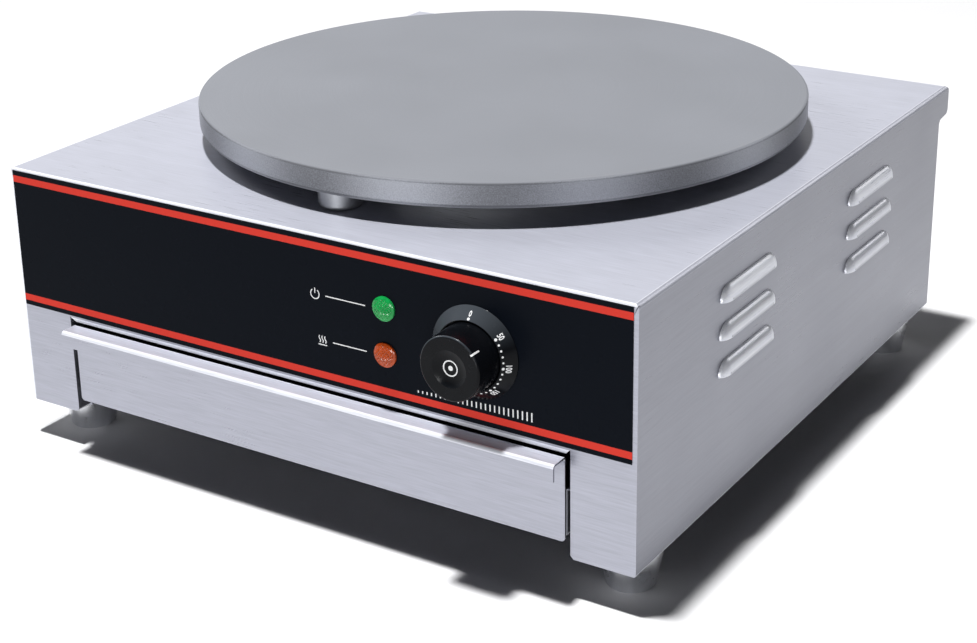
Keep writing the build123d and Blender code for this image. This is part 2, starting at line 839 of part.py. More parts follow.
# flanged bolts up through the top sheet and the posts into the griddle
with BuildPart() as post_bolts:
    with BuildSketch(griddle_plane(casing_top - sheet)):
        with Locations(*[polar(post_circle, angle) for angle in post_angles]):
            Circle(m8_radius * washer_share)
    extrude(amount=-washer_thickness)
    with BuildSketch(griddle_plane(casing_top - sheet - washer_thickness)):
        with Locations(*[polar(post_circle, angle) for angle in post_angles]):
            RegularPolygon(m8_radius * nut_share, 6)
    extrude(amount=-m8_radius * nut_height_share)
    with BuildSketch(griddle_plane(casing_top - sheet)):
        with Locations(*[polar(post_circle, angle) for angle in post_angles]):
            Circle(m8_radius)
    extrude(amount=sheet + griddle_gap + post_bolt_reach)
post_bolts.part.label = "post_bolts"
export_step(post_bolts.part, "parts/post_bolts.step")

# ---------------------------------------------------------------------- heater

element_centre = pocket_ceiling - element_radius
for ring_name, ring_radius in (("inner", inner_ring_radius), ("outer", outer_ring_radius)):
    # tubular element: an open ring whose two ends turn down through the heater
    with BuildPart() as heating_element:
        with BuildSketch(radial_plane(90 + element_gap_angle / 2)):
            with Locations((ring_radius, element_centre)):
                Circle(element_radius)
        revolve(axis=griddle_axis, revolution_arc=360 - element_gap_angle)
        with BuildSketch(griddle_plane(element_centre)):
            with Locations(*leg_places(ring_radius)):
                Circle(element_radius)
        extrude(amount=-element_leg_length)
        with Locations(
            *[(x, griddle_y + y, element_centre) for x, y in leg_places(ring_radius)]
        ):
            Sphere(element_radius)
    heating_element.part.label = f"heating_element_{ring_name}"
    export_step(heating_element.part, f"parts/heating_element_{ring_name}.step")


def heater_holes():
    """Holes for the studs, the element ends and the capillary, as one pattern."""
    with Locations(*stud_places):
        Circle(m6_radius + screw_gap, mode=Mode.SUBTRACT)
    with Locations(*element_legs):
        Circle(leg_hole_radius, mode=Mode.SUBTRACT)
    with Locations(capillary_place):
        Circle(capillary_hole, mode=Mode.SUBTRACT)


with BuildPart() as element_clamp_plate:
    with BuildSketch(griddle_plane(clamp_bottom)):
        Circle(clamp_plate_radius)
        heater_holes()
    extrude(amount=clamp_plate_thickness)
element_clamp_plate.part.label = "element_clamp_plate"
export_step(element_clamp_plate.part, "parts/element_clamp_plate.step")

with BuildPart() as insulation_disc:
    with BuildSketch(griddle_plane(insulation_bottom)):
        Circle(clamp_plate_radius)
        heater_holes()
    extrude(amount=clamp_bottom - insulation_bottom)
insulation_disc.part.label = "insulation_disc"
export_step(insulation_disc.part, "parts/insulation_disc.step")

with BuildPart() as heat_shield_pan:
    with BuildSketch(griddle_plane(heat_pan_bottom)):
        Circle(clamp_plate_radius + heat_pan_clearance + heat_pan_sheet)
        heater_holes()
    extrude(amount=heat_pan_sheet)
    with BuildSketch(griddle_plane(heat_pan_bottom)):
        Circle(clamp_plate_radius + heat_pan_clearance + heat_pan_sheet)
        Circle(clamp_plate_radius + heat_pan_clearance, mode=Mode.SUBTRACT)
    extrude(amount=clamp_bottom + clamp_plate_thickness - heat_pan_bottom)
heat_shield_pan.part.label = "heat_shield_pan"
export_step(heat_shield_pan.part, "parts/heat_shield_pan.step")

with BuildPart() as heater_studs:
    with BuildSketch(griddle_plane(heat_pan_bottom - heater_nut_height)):
        with Locations(*stud_places):
            Circle(m6_radius)
    extrude(amount=pocket_ceiling + stud_seat - heat_pan_bottom + heater_nut_height)
heater_studs.part.label = "heater_studs"
export_step(heater_studs.part, "parts/heater_studs.step")

with BuildPart() as heater_nuts:
    with BuildSketch(griddle_plane(heat_pan_bottom)):
        with Locations(*stud_places):
            RegularPolygon(m6_radius * nut_share, 6)
            Circle(m6_radius + thread_gap, mode=Mode.SUBTRACT)
    extrude(amount=-heater_nut_height)
heater_nuts.part.label = "heater_nuts"
export_step(heater_nuts.part, "parts/heater_nuts.step")

# thermostat's sensing bulb, flat against the griddle between the two elements
bulb_height = pocket_ceiling - bulb_radius
with BuildPart() as sensing_bulb:
    with BuildSketch(Plane.YZ.offset(-bulb_length / 2)):
        with Locations((griddle_y + bulb_offset, bulb_height)):
            Circle(bulb_radius)
    extrude(amount=bulb_length)
    fillet(sensing_bulb.edges().filter_by(GeomType.CIRCLE), bulb_round)
sensing_bulb.part.label = "sensing_bulb"
export_step(sensing_bulb.part, "parts/sensing_bulb.step")

# capillary from the bulb down into the casing and on to the thermostat
capillary_x = capillary_place[0]
capillary_low = casing_top - sheet - capillary_bend - capillary_radius
thermostat_top = casing_bottom + dial_height + thermostat_body_height / 2
capillary_depth = front_y + sheet + thermostat_length / 2
with BuildPart() as capillary_tube:
    with BuildLine():
        FilletPolyline(
            (bulb_length / 2, griddle_y + bulb_offset, bulb_height),
            (capillary_x, griddle_y + bulb_offset, bulb_height),
            (capillary_x, griddle_y + bulb_offset, capillary_low),
            (dial_x, capillary_depth, capillary_low),
            (dial_x, capillary_depth, thermostat_top),
            radius=capillary_bend,
        )
    with BuildSketch(Plane.YZ.offset(bulb_length / 2)):
        with Locations((griddle_y + bulb_offset, bulb_height)):
            Circle(capillary_radius)
    sweep()
capillary_tube.part.label = "capillary_tube"
export_step(capillary_tube.part, "parts/capillary_tube.step")

# ------------------------------------------------------------------ drawer bay


def rail_outline(side):
    """Outline of one drawer rail: foot outwards, ledge inwards, web between."""
    inner, low = half_opening, casing_bottom + sheet
    ledge = tray_rim - tray_sheet
    points = [
        (inner, tray_rim + rail_lip),
        (inner + sheet, tray_rim + rail_lip),
        (inner + sheet, low + sheet),
        (inner + rail_foot, low + sheet),
        (inner + rail_foot, low),
        (inner, low),
        (inner, ledge - sheet),
        (inner - rail_ledge, ledge - sheet),
        (inner - rail_ledge, ledge),
        (inner, ledge),
    ]
    Polygon(*[(side * x, z) for x, z in points], align=None)


for side, side_name in ((-1, "left"), (1, "right")):
    with BuildPart() as drawer_rail:
        with BuildSketch(front_plane(rail_start)):
            rail_outline(side)
        extrude(amount=rail_start - rail_stop - sheet)
        # turned-down front end of the ledge
        with BuildSketch(front_plane(rail_start)):
            with Locations(
                (
                    side * (half_opening - rail_ledge / 2),
                    tray_rim - tray_sheet - rail_front_drop / 2,
                )
            ):
                Rectangle(rail_ledge, rail_front_drop)
        extrude(amount=-sheet)
        # turned-up end of the ledge, which stops the closed drawer
        with BuildSketch(front_plane(rail_stop)):
            with Locations(
                (
                    side * (half_opening - rail_ledge / 2),
                    tray_rim - tray_sheet + rail_stop_height / 2,
                )
            ):
                Rectangle(rail_ledge, rail_stop_height)
        extrude(amount=-sheet)
        with BuildSketch(Plane.XY.offset(casing_bottom + sheet)):
            with Locations(*rail_screw_places):
                Circle(m4_radius + thread_gap)
        extrude(amount=sheet, mode=Mode.SUBTRACT)
    drawer_rail.part.label = f"drawer_rail_{side_name}"
    export_step(drawer_rail.part, f"parts/drawer_rail_{side_name}.step")

with BuildPart() as rail_screws:
    with BuildSketch(Plane.XY.offset(casing_bottom)):
        with Locations(*rail_screw_places):
            Circle(m4_head)
    extrude(amount=-m4_head_height)
    with BuildSketch(Plane.XY.offset(casing_bottom)):
        with Locations(*rail_screw_places):
            Circle(m4_radius)
    extrude(amount=2 * sheet + m4_head_height)
rail_screws.part.label = "rail_screws"
export_step(rail_screws.part, "parts/rail_screws.step")

# front of the drawer, folded forwards and down along its top as the handle
with BuildPart() as drawer_front:
    with BuildSketch(Plane.YZ):
        with BuildLine():
            lip_height = casing_bottom + drawer_top - sheet / 2
            lip_y = front_y - handle_reach + sheet / 2
            FilletPolyline(
                (front_y + sheet / 2, casing_bottom + drawer_bottom),
                (front_y + sheet / 2, lip_height),
                (lip_y, lip_height),
                (lip_y, casing_bottom + drawer_top - handle_drop),
                radius=handle_bend,
            )
        trace(line_width=sheet)
    extrude(amount=drawer_half, both=True)
    fillet(drawer_front.edges().filter_by(Axis.Y).group_by(Axis.Z)[0], drawer_corner)
drawer_front.part.label = "drawer_front"
export_step(drawer_front.part, "parts/drawer_front.step")

tray_rim_edge = half_opening - tray_flange_gap
with BuildPart() as drawer_tray:
    with BuildSketch(Plane.XY.offset(drawer_floor)):
        with Locations((0, front_y + sheet + tray_length / 2)):
            RectangleRounded(2 * tray_half, tray_length, tray_round)
    extrude(amount=tray_height)
    fillet(drawer_tray.edges().group_by(Axis.Z)[0], tray_round - tray_sheet / 2)
    offset(amount=-tray_sheet, openings=drawer_tray.faces().sort_by(Axis.Z)[-1])
    with BuildSketch(Plane.XY.offset(tray_rim)):
        with Locations((0, front_y + sheet + tray_length / 2)):
            with GridLocations(tray_half - tray_sheet + tray_rim_edge, 0, 2, 1):
                Rectangle(tray_rim_edge - tray_half + tray_sheet, tray_length - 2 * tray_round)
    extrude(amount=-tray_sheet)
drawer_tray.part.label = "drawer_tray"
export_step(drawer_tray.part, "parts/drawer_tray.step")

# shelf over the drawer bay, which carries the electrics
shelf_front = lip_setback + sheet + opening_lip_bend + rest_gap
shelf_end = body_depth - 2 * sheet - shelf_rear_gap
with BuildPart() as electrics_shelf:
    with BuildSketch(front_plane(shelf_front)):
        with BuildLine():
            side_x = half_width - sheet
            FilletPolyline(
                (-side_x, shelf_under + shelf_upstand),
                (-side_x, shelf_under),
                (side_x, shelf_under),
                (side_x, shelf_under + shelf_upstand),
                (side_x - shelf_sheet, shelf_under + shelf_upstand),
                (side_x - shelf_sheet, shelf_top),
                (shelf_sheet - side_x, shelf_top),
                (shelf_sheet - side_x, shelf_under + shelf_upstand),
                radius=[
                    0,
                    shelf_bend,
                    shelf_bend,
                    0,
                    0,
                    shelf_bend - shelf_sheet,
                    shelf_bend - shelf_sheet,
                    0,
                ],
                close=True,
            )
        make_face()
    extrude(amount=shelf_front - shelf_end)
    with BuildSketch(Plane.XY.offset(shelf_under)):
        with Locations(terminal_block_place):
            with GridLocations(block_screw_spacing, 0, 2, 1):
                Circle(m4_radius + thread_gap)
    extrude(amount=shelf_sheet, mode=Mode.SUBTRACT)
electrics_shelf.part.label = "electrics_shelf"
export_step(electrics_shelf.part, "parts/electrics_shelf.step")

# ceramic terminal block, one well per way, with a fixing ear at each end
terminal_seat = shelf_top + terminal_block_height - terminal_well_depth
with BuildPart() as terminal_block:
    with BuildSketch(Plane.XY.offset(shelf_top)):
        with Locations(terminal_block_place):
            Rectangle(terminal_block_width, terminal_block_depth)
    extrude(amount=terminal_block_height)
    with BuildSketch(Plane.XY.offset(shelf_top)):
        with Locations(terminal_block_place):
            Rectangle(block_screw_spacing + 4 * m4_radius, terminal_block_depth / 2)
    extrude(amount=block_ear_height)
    with BuildSketch(Plane.XY.offset(shelf_top + terminal_block_height)):
        with Locations(terminal_block_place):
            with GridLocations(terminal_pitch, 0, terminal_ways, 1):
                Rectangle(terminal_pitch - 2 * sheet, terminal_block_depth)
    extrude(amount=terminal_seat - shelf_top - terminal_block_height, mode=Mode.SUBTRACT)
    with BuildSketch(Plane.XY.offset(shelf_top)):
        with Locations(terminal_block_place):
            with GridLocations(block_screw_spacing, 0, 2, 1):
                Circle(m4_radius + screw_gap)
    extrude(amount=block_ear_height, mode=Mode.SUBTRACT)
terminal_block.part.label = "terminal_block"
export_step(terminal_block.part, "parts/terminal_block.step")

with BuildPart() as terminal_screws:
    with BuildSketch(Plane.XY.offset(terminal_seat)):
        with Locations(terminal_block_place):
            with GridLocations(terminal_pitch, terminal_block_depth / 2, terminal_ways, 2):
                Circle(m4_head)
    extrude(amount=m4_head_height)
terminal_screws.part.label = "terminal_screws"
export_step(terminal_screws.part, "parts/terminal_screws.step")

with BuildPart() as block_screws:
    with BuildSketch(Plane.XY.offset(shelf_top + block_ear_height)):
        with Locations(terminal_block_place):
            with GridLocations(block_screw_spacing, 0, 2, 1):
                Circle(m4_head)
    extrude(amount=m4_head_height)
    with BuildSketch(Plane.XY.offset(shelf_under)):
        with Locations(terminal_block_place):
            with GridLocations(block_screw_spacing, 0, 2, 1):
                Circle(m4_radius)
    extrude(amount=shelf_sheet + block_ear_height)
block_screws.part.label = "block_screws"
export_step(block_screws.part, "parts/block_screws.step")

# ------------------------------------------------------------------------ feet

foot_taper = atan2(foot_top_radius - foot_tip_radius, foot_height)
for (x, y), foot_name in zip(foot_places, foot_names):
    with BuildPart() as foot:
        with BuildSketch(Plane((x, y, 0))):
            Circle(foot_tip_radius)
        extrude(amount=foot_height, taper=-degrees(foot_taper))
        fillet(foot.edges().group_by(Axis.Z)[0], foot_tip_round)
        with BuildSketch(Plane((x, y, foot_height))):
            Circle(m6_radius + thread_gap)
        extrude(amount=-foot_bolt_reach - rest_gap, mode=Mode.SUBTRACT)
    foot.part.label = foot_name
    export_step(foot.part, f"parts/{foot_name}.step")

with BuildPart() as foot_bolts:
    with BuildSketch(Plane.XY.offset(casing_bottom + sheet)):
        with Locations(*foot_places):
            RegularPolygon(m6_radius * nut_share, 6)
    extrude(amount=m6_radius * nut_height_share)
    with BuildSketch(Plane.XY.offset(casing_bottom + sheet)):
        with Locations(*foot_places):
            Circle(m6_radius)
    extrude(amount=-sheet - foot_bolt_reach)
foot_bolts.part.label = "foot_bolts"
export_step(foot_bolts.part, "parts/foot_bolts.step")

# ------------------------------------------------------------------- back panel

with BuildPart() as back_panel:
    with BuildSketch(back_plane(body_depth - sheet)):
        with Locations((0, (casing_bottom + back_panel_gap + back_panel_top) / 2)):
            Rectangle(
                body_width - 2 * sheet - 2 * back_panel_gap,
                back_panel_top - casing_bottom - back_panel_gap,
            )
        with Locations(*[(-x, z) for x, z in back_screw_places]):
            Circle(m4_radius + screw_gap, mode=Mode.SUBTRACT)
        with Locations((-gland_x, casing_bottom + gland_height)):
            Circle(gland_radius + screw_gap, mode=Mode.SUBTRACT)
        with Locations((-earth_x, casing_bottom + earth_height)):
            Circle(m6_radius + screw_gap, mode=Mode.SUBTRACT)
        with Locations((0, casing_bottom + gland_height)):
            with GridLocations(vent_spacing, vent_pitch, 2, vent_rows):
                SlotOverall(vent_length, vent_width, mode=Mode.SUBTRACT)
    extrude(amount=sheet)
back_panel.part.label = "back_panel"
export_step(back_panel.part, "parts/back_panel.step")

with BuildPart() as back_panel_screws:
    with BuildSketch(back_plane(body_depth)):
        with Locations(*[(-x, z) for x, z in back_screw_places]):
            Circle(m4_head)
    extrude(amount=m4_head_height)
    with BuildSketch(back_plane(body_depth)):
        with Locations(*[(-x, z) for x, z in back_screw_places]):
            Circle(m4_radius)
    extrude(amount=-2 * sheet - m4_head_height)
back_panel_screws.part.label = "back_panel_screws"
export_step(back_panel_screws.part, "parts/back_panel_screws.step")

with BuildPart() as cable_gland:
    with BuildSketch(back_plane(body_depth)):
        with Locations((-gland_x, casing_bottom + gland_height)):
            RegularPolygon(gland_hex / 2, 6, major_radius=False)
    extrude(amount=gland_flange)
    with BuildSketch(back_plane(body_depth)):
        with Locations((-gland_x, casing_bottom + gland_height)):
            Circle(gland_radius)
    extrude(amount=-gland_thread_length)
    with BuildSketch(back_plane(body_depth - gland_thread_length)):
        with Locations((-gland_x, casing_bottom + gland_height)):
            Circle(cord_radius)
    extrude(amount=gland_thread_length + gland_flange, mode=Mode.SUBTRACT)
cable_gland.part.label = "cable_gland"
export_step(cable_gland.part, "parts/cable_gland.step")

with BuildPart() as gland_dome_nut:
    with BuildSketch(fitting_plane(gland_x, gland_height)):
        with BuildLine():
            nut_start = body_depth + gland_flange
            nut_end = nut_start + gland_nut_length
            FilletPolyline(
                (cord_radius, nut_start),
                (gland_hex / 2, nut_start),
                (gland_hex / 2, (nut_start + nut_end) / 2),
                (gland_nut_tip, nut_end),
                (cord_radius, nut_end),
                radius=[0, 0, gland_nut_length / 4, gland_nut_round, 0],
                close=True,
            )
        make_face()
    revolve(axis=fitting_axis(gland_x, gland_height))
gland_dome_nut.part.label = "gland_dome_nut"
export_step(gland_dome_nut.part, "parts/gland_dome_nut.step")

with BuildPart() as gland_locknut:
    with BuildSketch(back_plane(body_depth - sheet)):
        with Locations((-gland_x, casing_bottom + gland_height)):
            RegularPolygon(gland_hex / 2, 6, major_radius=False)
            Circle(gland_radius + thread_gap, mode=Mode.SUBTRACT)
    extrude(amount=-gland_locknut_length)
gland_locknut.part.label = "gland_locknut"
export_step(gland_locknut.part, "parts/gland_locknut.step")

# bonding stud with a nut on each side of the back panel
with BuildPart() as earth_stud:
    with BuildSketch(back_plane(body_depth + earth_reach)):
        with Locations((-earth_x, casing_bottom + earth_height)):
            Circle(m6_radius)
    extrude(amount=-earth_reach - sheet - 2 * m6_radius)
    # neck where the thread runs out, outside the outer nut
    with BuildSketch(back_plane(body_depth + m6_radius * nut_height_share)):
        with Locations((-earth_x, casing_bottom + earth_height)):
            Circle(m6_radius)
            Circle(m6_radius - earth_neck_depth, mode=Mode.SUBTRACT)
    extrude(amount=earth_neck_length, mode=Mode.SUBTRACT)
earth_stud.part.label = "earth_stud"
export_step(earth_stud.part, "parts/earth_stud.step")

with BuildPart() as earth_nuts:
    for depth, way in ((body_depth, 1), (body_depth - sheet, -1)):
        with BuildSketch(back_plane(depth)):
            with Locations((-earth_x, casing_bottom + earth_height)):
                RegularPolygon(m6_radius * nut_share, 6)
                Circle(m6_radius + thread_gap, mode=Mode.SUBTRACT)
        extrude(amount=way * m6_radius * nut_height_share)
earth_nuts.part.label = "earth_nuts"
export_step(earth_nuts.part, "parts/earth_nuts.step")
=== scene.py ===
import json
import math

import bmesh
import bpy
from mathutils import Matrix, Vector


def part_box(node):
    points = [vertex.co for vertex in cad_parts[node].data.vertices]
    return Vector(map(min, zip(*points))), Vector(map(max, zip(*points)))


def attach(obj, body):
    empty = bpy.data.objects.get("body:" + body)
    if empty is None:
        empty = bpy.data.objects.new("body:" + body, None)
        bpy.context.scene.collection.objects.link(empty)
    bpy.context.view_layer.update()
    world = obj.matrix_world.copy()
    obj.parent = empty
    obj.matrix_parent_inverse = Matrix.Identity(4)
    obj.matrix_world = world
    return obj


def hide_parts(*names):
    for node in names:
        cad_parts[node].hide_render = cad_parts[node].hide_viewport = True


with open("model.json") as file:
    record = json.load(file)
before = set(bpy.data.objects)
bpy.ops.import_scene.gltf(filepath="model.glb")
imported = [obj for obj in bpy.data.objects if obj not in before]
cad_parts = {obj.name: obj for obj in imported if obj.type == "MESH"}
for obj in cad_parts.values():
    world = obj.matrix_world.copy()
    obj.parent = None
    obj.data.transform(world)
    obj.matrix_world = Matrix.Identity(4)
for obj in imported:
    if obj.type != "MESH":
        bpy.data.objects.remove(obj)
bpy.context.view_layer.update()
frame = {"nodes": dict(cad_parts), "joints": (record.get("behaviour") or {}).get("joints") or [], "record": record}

# Electric crepe maker. Metres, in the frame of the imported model: +Z up, -Y the front.

# ------------------------------------------------------------------ named sizes

MM = 0.001
PRINT_LIFT = 0.03 * MM
PRINT_DEPTH = 0.02 * MM

# stripes of the front film
STRIPE_MARGIN = 3.1 * MM
STRIPE_WIDTH = 4.4 * MM

# brushed sheet: how metallic it looks, and the painted light and shade in its colour for each way that it faces,
# with painted highlights on its folds and painted shade on the fold of its roof
SHEET_METALLIC = 0.8
SHEET_TOP_METALLIC = 0.2
FOLD_METALLIC = 0.25
TOP_PAINTED_SHADE = 0.75
FRONT_PAINTED_SHADE = 0.63
SIDE_PAINTED_SHADE = 0.39
UNDER_PAINTED_SHADE = 0.3
FOLD_PAINTED_HIGHLIGHT = 1.3
ROOF_FOLD_PAINTED_SHADE = 0.62
ROOF_SHADE_HEIGHT = 4.0 * MM

# part of the normal along an axis, between which a face counts as flat or as facing down
FLAT_LIMITS = (0.992, 0.9995)
UNDER_LIMIT = -0.9

# darkest and lightest share of a finish's colour
SHEET_SHADES = (0.86, 1.13)
METAL_SHADES = (0.85, 1.12)
LENS_SHADES = (0.55, 1.0)
INK_SHADES = (0.78, 1.0)

# noise scales along and across the brushing, and along the radius of the griddle
BRUSHING = (45, 1100)
COARSE_BRUSHING = (3, 260)
RING_SCALE = 900.0

# griddle plate: its pocket and its rounded edges, and the painted shade and bands of painted reflection on its rim
POCKET_RADIUS = 165.0 * MM
POCKET_DEPTH = 8.0 * MM
POCKET_ROUND = 4.0 * MM
PLATE_LOW_ROUND = 2.5 * MM
PLATE_TOP_ROUND = 1.5 * MM
PLATE_FLAT_GUARD = 0.3 * MM
POCKET_STEPS = 6
EDGE_STEPS = 8
RIM_PAINTED_SHADES = (0.56, 1.70)
RIM_REFLECTION_BANDS = 11
RIM_REFLECTION_ANGLE = 47.0
RIM_REFLECTION_DEPTH = 0.35

# lamp lenses
DOME_RADIUS = 6.0 * MM
DOME_RISE = 1.08 * MM
WAFFLE_PITCH = 1.7 * MM
WAFFLE_RELIEF = 0.42 * MM
WAFFLE_STEPS = 76

# dial scale on the cone of the bezel
CONE_INNER_RADIUS = 21.3 * MM
CONE_OUTER_HEIGHT = 0.6 * MM
DOT_RADIUS = 0.62 * MM
STRONG_DOT_RADIUS = 0.85 * MM
DOT_PLACE = 1.15 * MM
NUMBER_PLACE = 4.2 * MM
NUMBER_SIZE = 4.9 * MM
NUMBER_BOLD = 0.10 * MM
NUMBER_SQUEEZE = 0.72
FIRST_MARK = 50
FIRST_MARK_ANGLE = 52.0
LAST_MARK = 300
DEGREES_PER_MARK = 9.0
MARK_STEP = 10
NUMBER_STEP = 50

# marks on the knob
KNOB_DISH_RADIUS = 11.0 * MM
KNOB_DISH_DEPTH = 1.8 * MM
KNOB_RING_RADIUS = 4.4 * MM
KNOB_RING_WIDTH = 0.8 * MM
KNOB_DOT_RADIUS = 1.5 * MM
POINTER_WIDTH = 1.1 * MM
POINTER_FACE_LENGTH = 0.2 * MM
POINTER_SIDE_LENGTH = 7.4 * MM
POINTER_DEPTH = 0.35 * MM
POINTER_STEPS = 16
KNOB_EDGE = 1.3 * MM
KNOB_FACE_INSET = 0.9 * MM

# symbols on the film, beside the lamps and under the dial
SYMBOL_STROKE = 0.62 * MM
SYMBOL_DROP = 1.0 * MM
POWER_SYMBOL = (14.5 * MM, 3.0 * MM)
POWER_ARC = (125, 415)
POWER_BAR = (0.15, 1.25)
HEAT_SYMBOL = (18.5 * MM, 5.6 * MM)
HEAT_WAVE_STEPS = 14
HEAT_WAVE_GAP = 0.36
HEAT_WAVE_SWING = 0.09
HEAT_WAVE_ENDS = (-0.28, 0.50)
HEAT_BAR = (0.55, -0.5)
RULE_ENDS = (22.0 * MM, 50.0 * MM)
HEAT_RULE_INSET = 4.0 * MM
WEDGE_ENDS = (85.0 * MM, 160.0 * MM)
WEDGE_HEIGHT = 5.6 * MM
WEDGE_RISE = 2.3 * MM
WEDGE_TICKS = 26
WEDGE_FIRST_SHARE = 0.25
WEDGE_STROKE = 1.3 * SYMBOL_STROKE

# camera, as it stood for the photograph
CAMERA_PLACE = (0.65745, -1.03861, 0.57424)
CAMERA_AZIMUTH = 32.534
CAMERA_ELEVATION = 20.320
CAMERA_ROLL = -0.918
CAMERA_LENS = 71.668
CAMERA_SHIFT = -0.1003

# studio: floor, surroundings and lights, each with its place, target, size, power and whether
# the floor is kept out of its light
FLOOR_SIZE = 8.0
WORLD_COLOUR = (0.96, 0.97, 1.0)
WORLD_STRENGTH = 0.006
LIGHTS = {
    "key": ((-0.22, -0.42, 4.0), (0, 0, 0.1), (0.28, 0.28), 212, False),
    "backdrop": ((-1.6, 1.9, 0.95), (0, 0, 0.25), (3.4, 1.6), 8, False),
    "rear_right": ((1.0, 1.9, 1.2), (0, 0, 0.2), (1.1, 1.0), 9, True),
    "left": ((-2.3, 0.2, 1.6), (0, 0, 0.15), (0.9, 0.9), 25, True),
    "front_strip": ((0.5, -2.2, 0.14), (0, 0, 0.12), (1.6, 0.2), 19, True),
}

nodes = frame["nodes"]
dial_x, _, dial_z = frame["joints"][0]["pos_m"]
film_low, film_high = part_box("control_panel_film")
bezel_low, bezel_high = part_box("dial_bezel")
knob_low, knob_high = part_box("control_knob")
film_face = film_low.y


# -------------------------------------------------------------------- materials


class Shading:
    """A node material with short calls that add its nodes and join them."""

    def __init__(self, name, colour, metallic, roughness, **constants):
        self.material = bpy.data.materials.new(name)
        self.material.use_nodes = True
        self.tree = self.material.node_tree
        self.shader = self.tree.nodes["Principled BSDF"]
        self.fill(
            self.shader,
            {"Base Color": (*colour, 1.0), "Metallic": metallic, "Roughness": roughness},
        )
        self.fill(self.shader, {k.replace("_", " "): v for k, v in constants.items()})
        self.coordinates = self.tree.nodes.new("ShaderNodeTexCoord")

    def fill(self, node, inputs):
        """Sets each input to a constant, or joins it to a socket."""
        for key, value in inputs.items():
            if isinstance(value, bpy.types.NodeSocket):
                self.tree.links.new(value, node.inputs[key])
            else:
                node.inputs[key].default_value = value

    def node(self, kind, inputs=None, **settings):
        """New node of one kind, with its settings and inputs."""
        made = self.tree.nodes.new("ShaderNode" + kind)
        for key, value in settings.items():
            setattr(made, key, value)
        self.fill(made, inputs or {})
        return made

    def math(self, operation, *values):
        """Result of one Math node."""
        return self.node("Math", dict(enumerate(values)), operation=operation).outputs[0]

    def noise(self, scale, detail=3.0, centre=(0, 0, 0)):
        """Noise in the object's own metres, with a scale for each axis."""
        place = self.node(
            "Mapping",
            {"Vector": self.coordinates.outputs["Object"], "Location": centre, "Scale": scale},
        )
        cloud = self.node("TexNoise", {"Vector": place.outputs[0], "Scale": 1.0, "Detail": detail})
        return cloud.outputs["Fac"]

    def spread(self, value, low, high):
        """Value, mostly between 0.3 and 0.7, spread out to low and high."""
        return self.node(
            "MapRange", {"Value": value, "From Min": 0.3, "From Max": 0.7, "To Min": low, "To Max": high}
        ).outputs[0]

    def blend(self, factor, first, second):
        """Two colours mixed by factor."""
        mixer = self.node("Mix", {0: factor}, data_type="RGBA")
        for slot, colour in ((6, first), (7, second)):
            if isinstance(colour, bpy.types.NodeSocket):
                self.tree.links.new(colour, mixer.inputs[slot])
            else:
                mixer.inputs[slot].default_value = (*colour, 1.0)
        return mixer.outputs[2]

    def choose(self, factor, first, second):
        """Two values mixed by factor."""
        return self.node("Mix", {0: factor, 2: first, 3: second}, data_type="FLOAT").outputs[0]

    def bump(self, height, strength, distance, below=None):
        """Relief from height, laid over the relief below it."""
        inputs = {"Height": height, "Strength": strength, "Distance": distance}
        if below is not None:
            inputs["Normal"] = below
        return self.node("Bump", inputs).outputs[0]

    def finish(self, colour=None, roughness=None, normal=None, metallic=None):
        """Joins what varies over the surface to the shader."""
        given = {"Base Color": colour, "Roughness": roughness, "Normal": normal, "Metallic": metallic}
        self.fill(self.shader, {key: socket for key, socket in given.items() if socket is not None})
        return self.material

    def faces(self, axis, first=0.6, last=0.6):
        """1 on faces that look along the axis, 0 on the others, and even between the two limits."""
        parts = self.node("SeparateXYZ", {0: self.coordinates.outputs["Normal"]})
        turned = self.math("ABSOLUTE", parts.outputs[axis])
        if first == last:
            return self.math("GREATER_THAN", turned, first)
        return self.node("MapRange", {"Value": turned, "From Min": first, "From Max": last}).outputs[0]


def tints(colour, shares):
    """The colour times each share, each channel at most 1."""
    return [[min(channel * share, 1.0) for channel in colour] for share in shares]


def brushed_noise(made, scales, detail):
    """Streaks that run along X, and along Y on the sides."""
    along, across = scales
    along_x = made.noise((along, across, across), detail)
    along_y = made.noise((across, along, across), detail)
    return made.choose(made.faces(0), along_x, along_y)


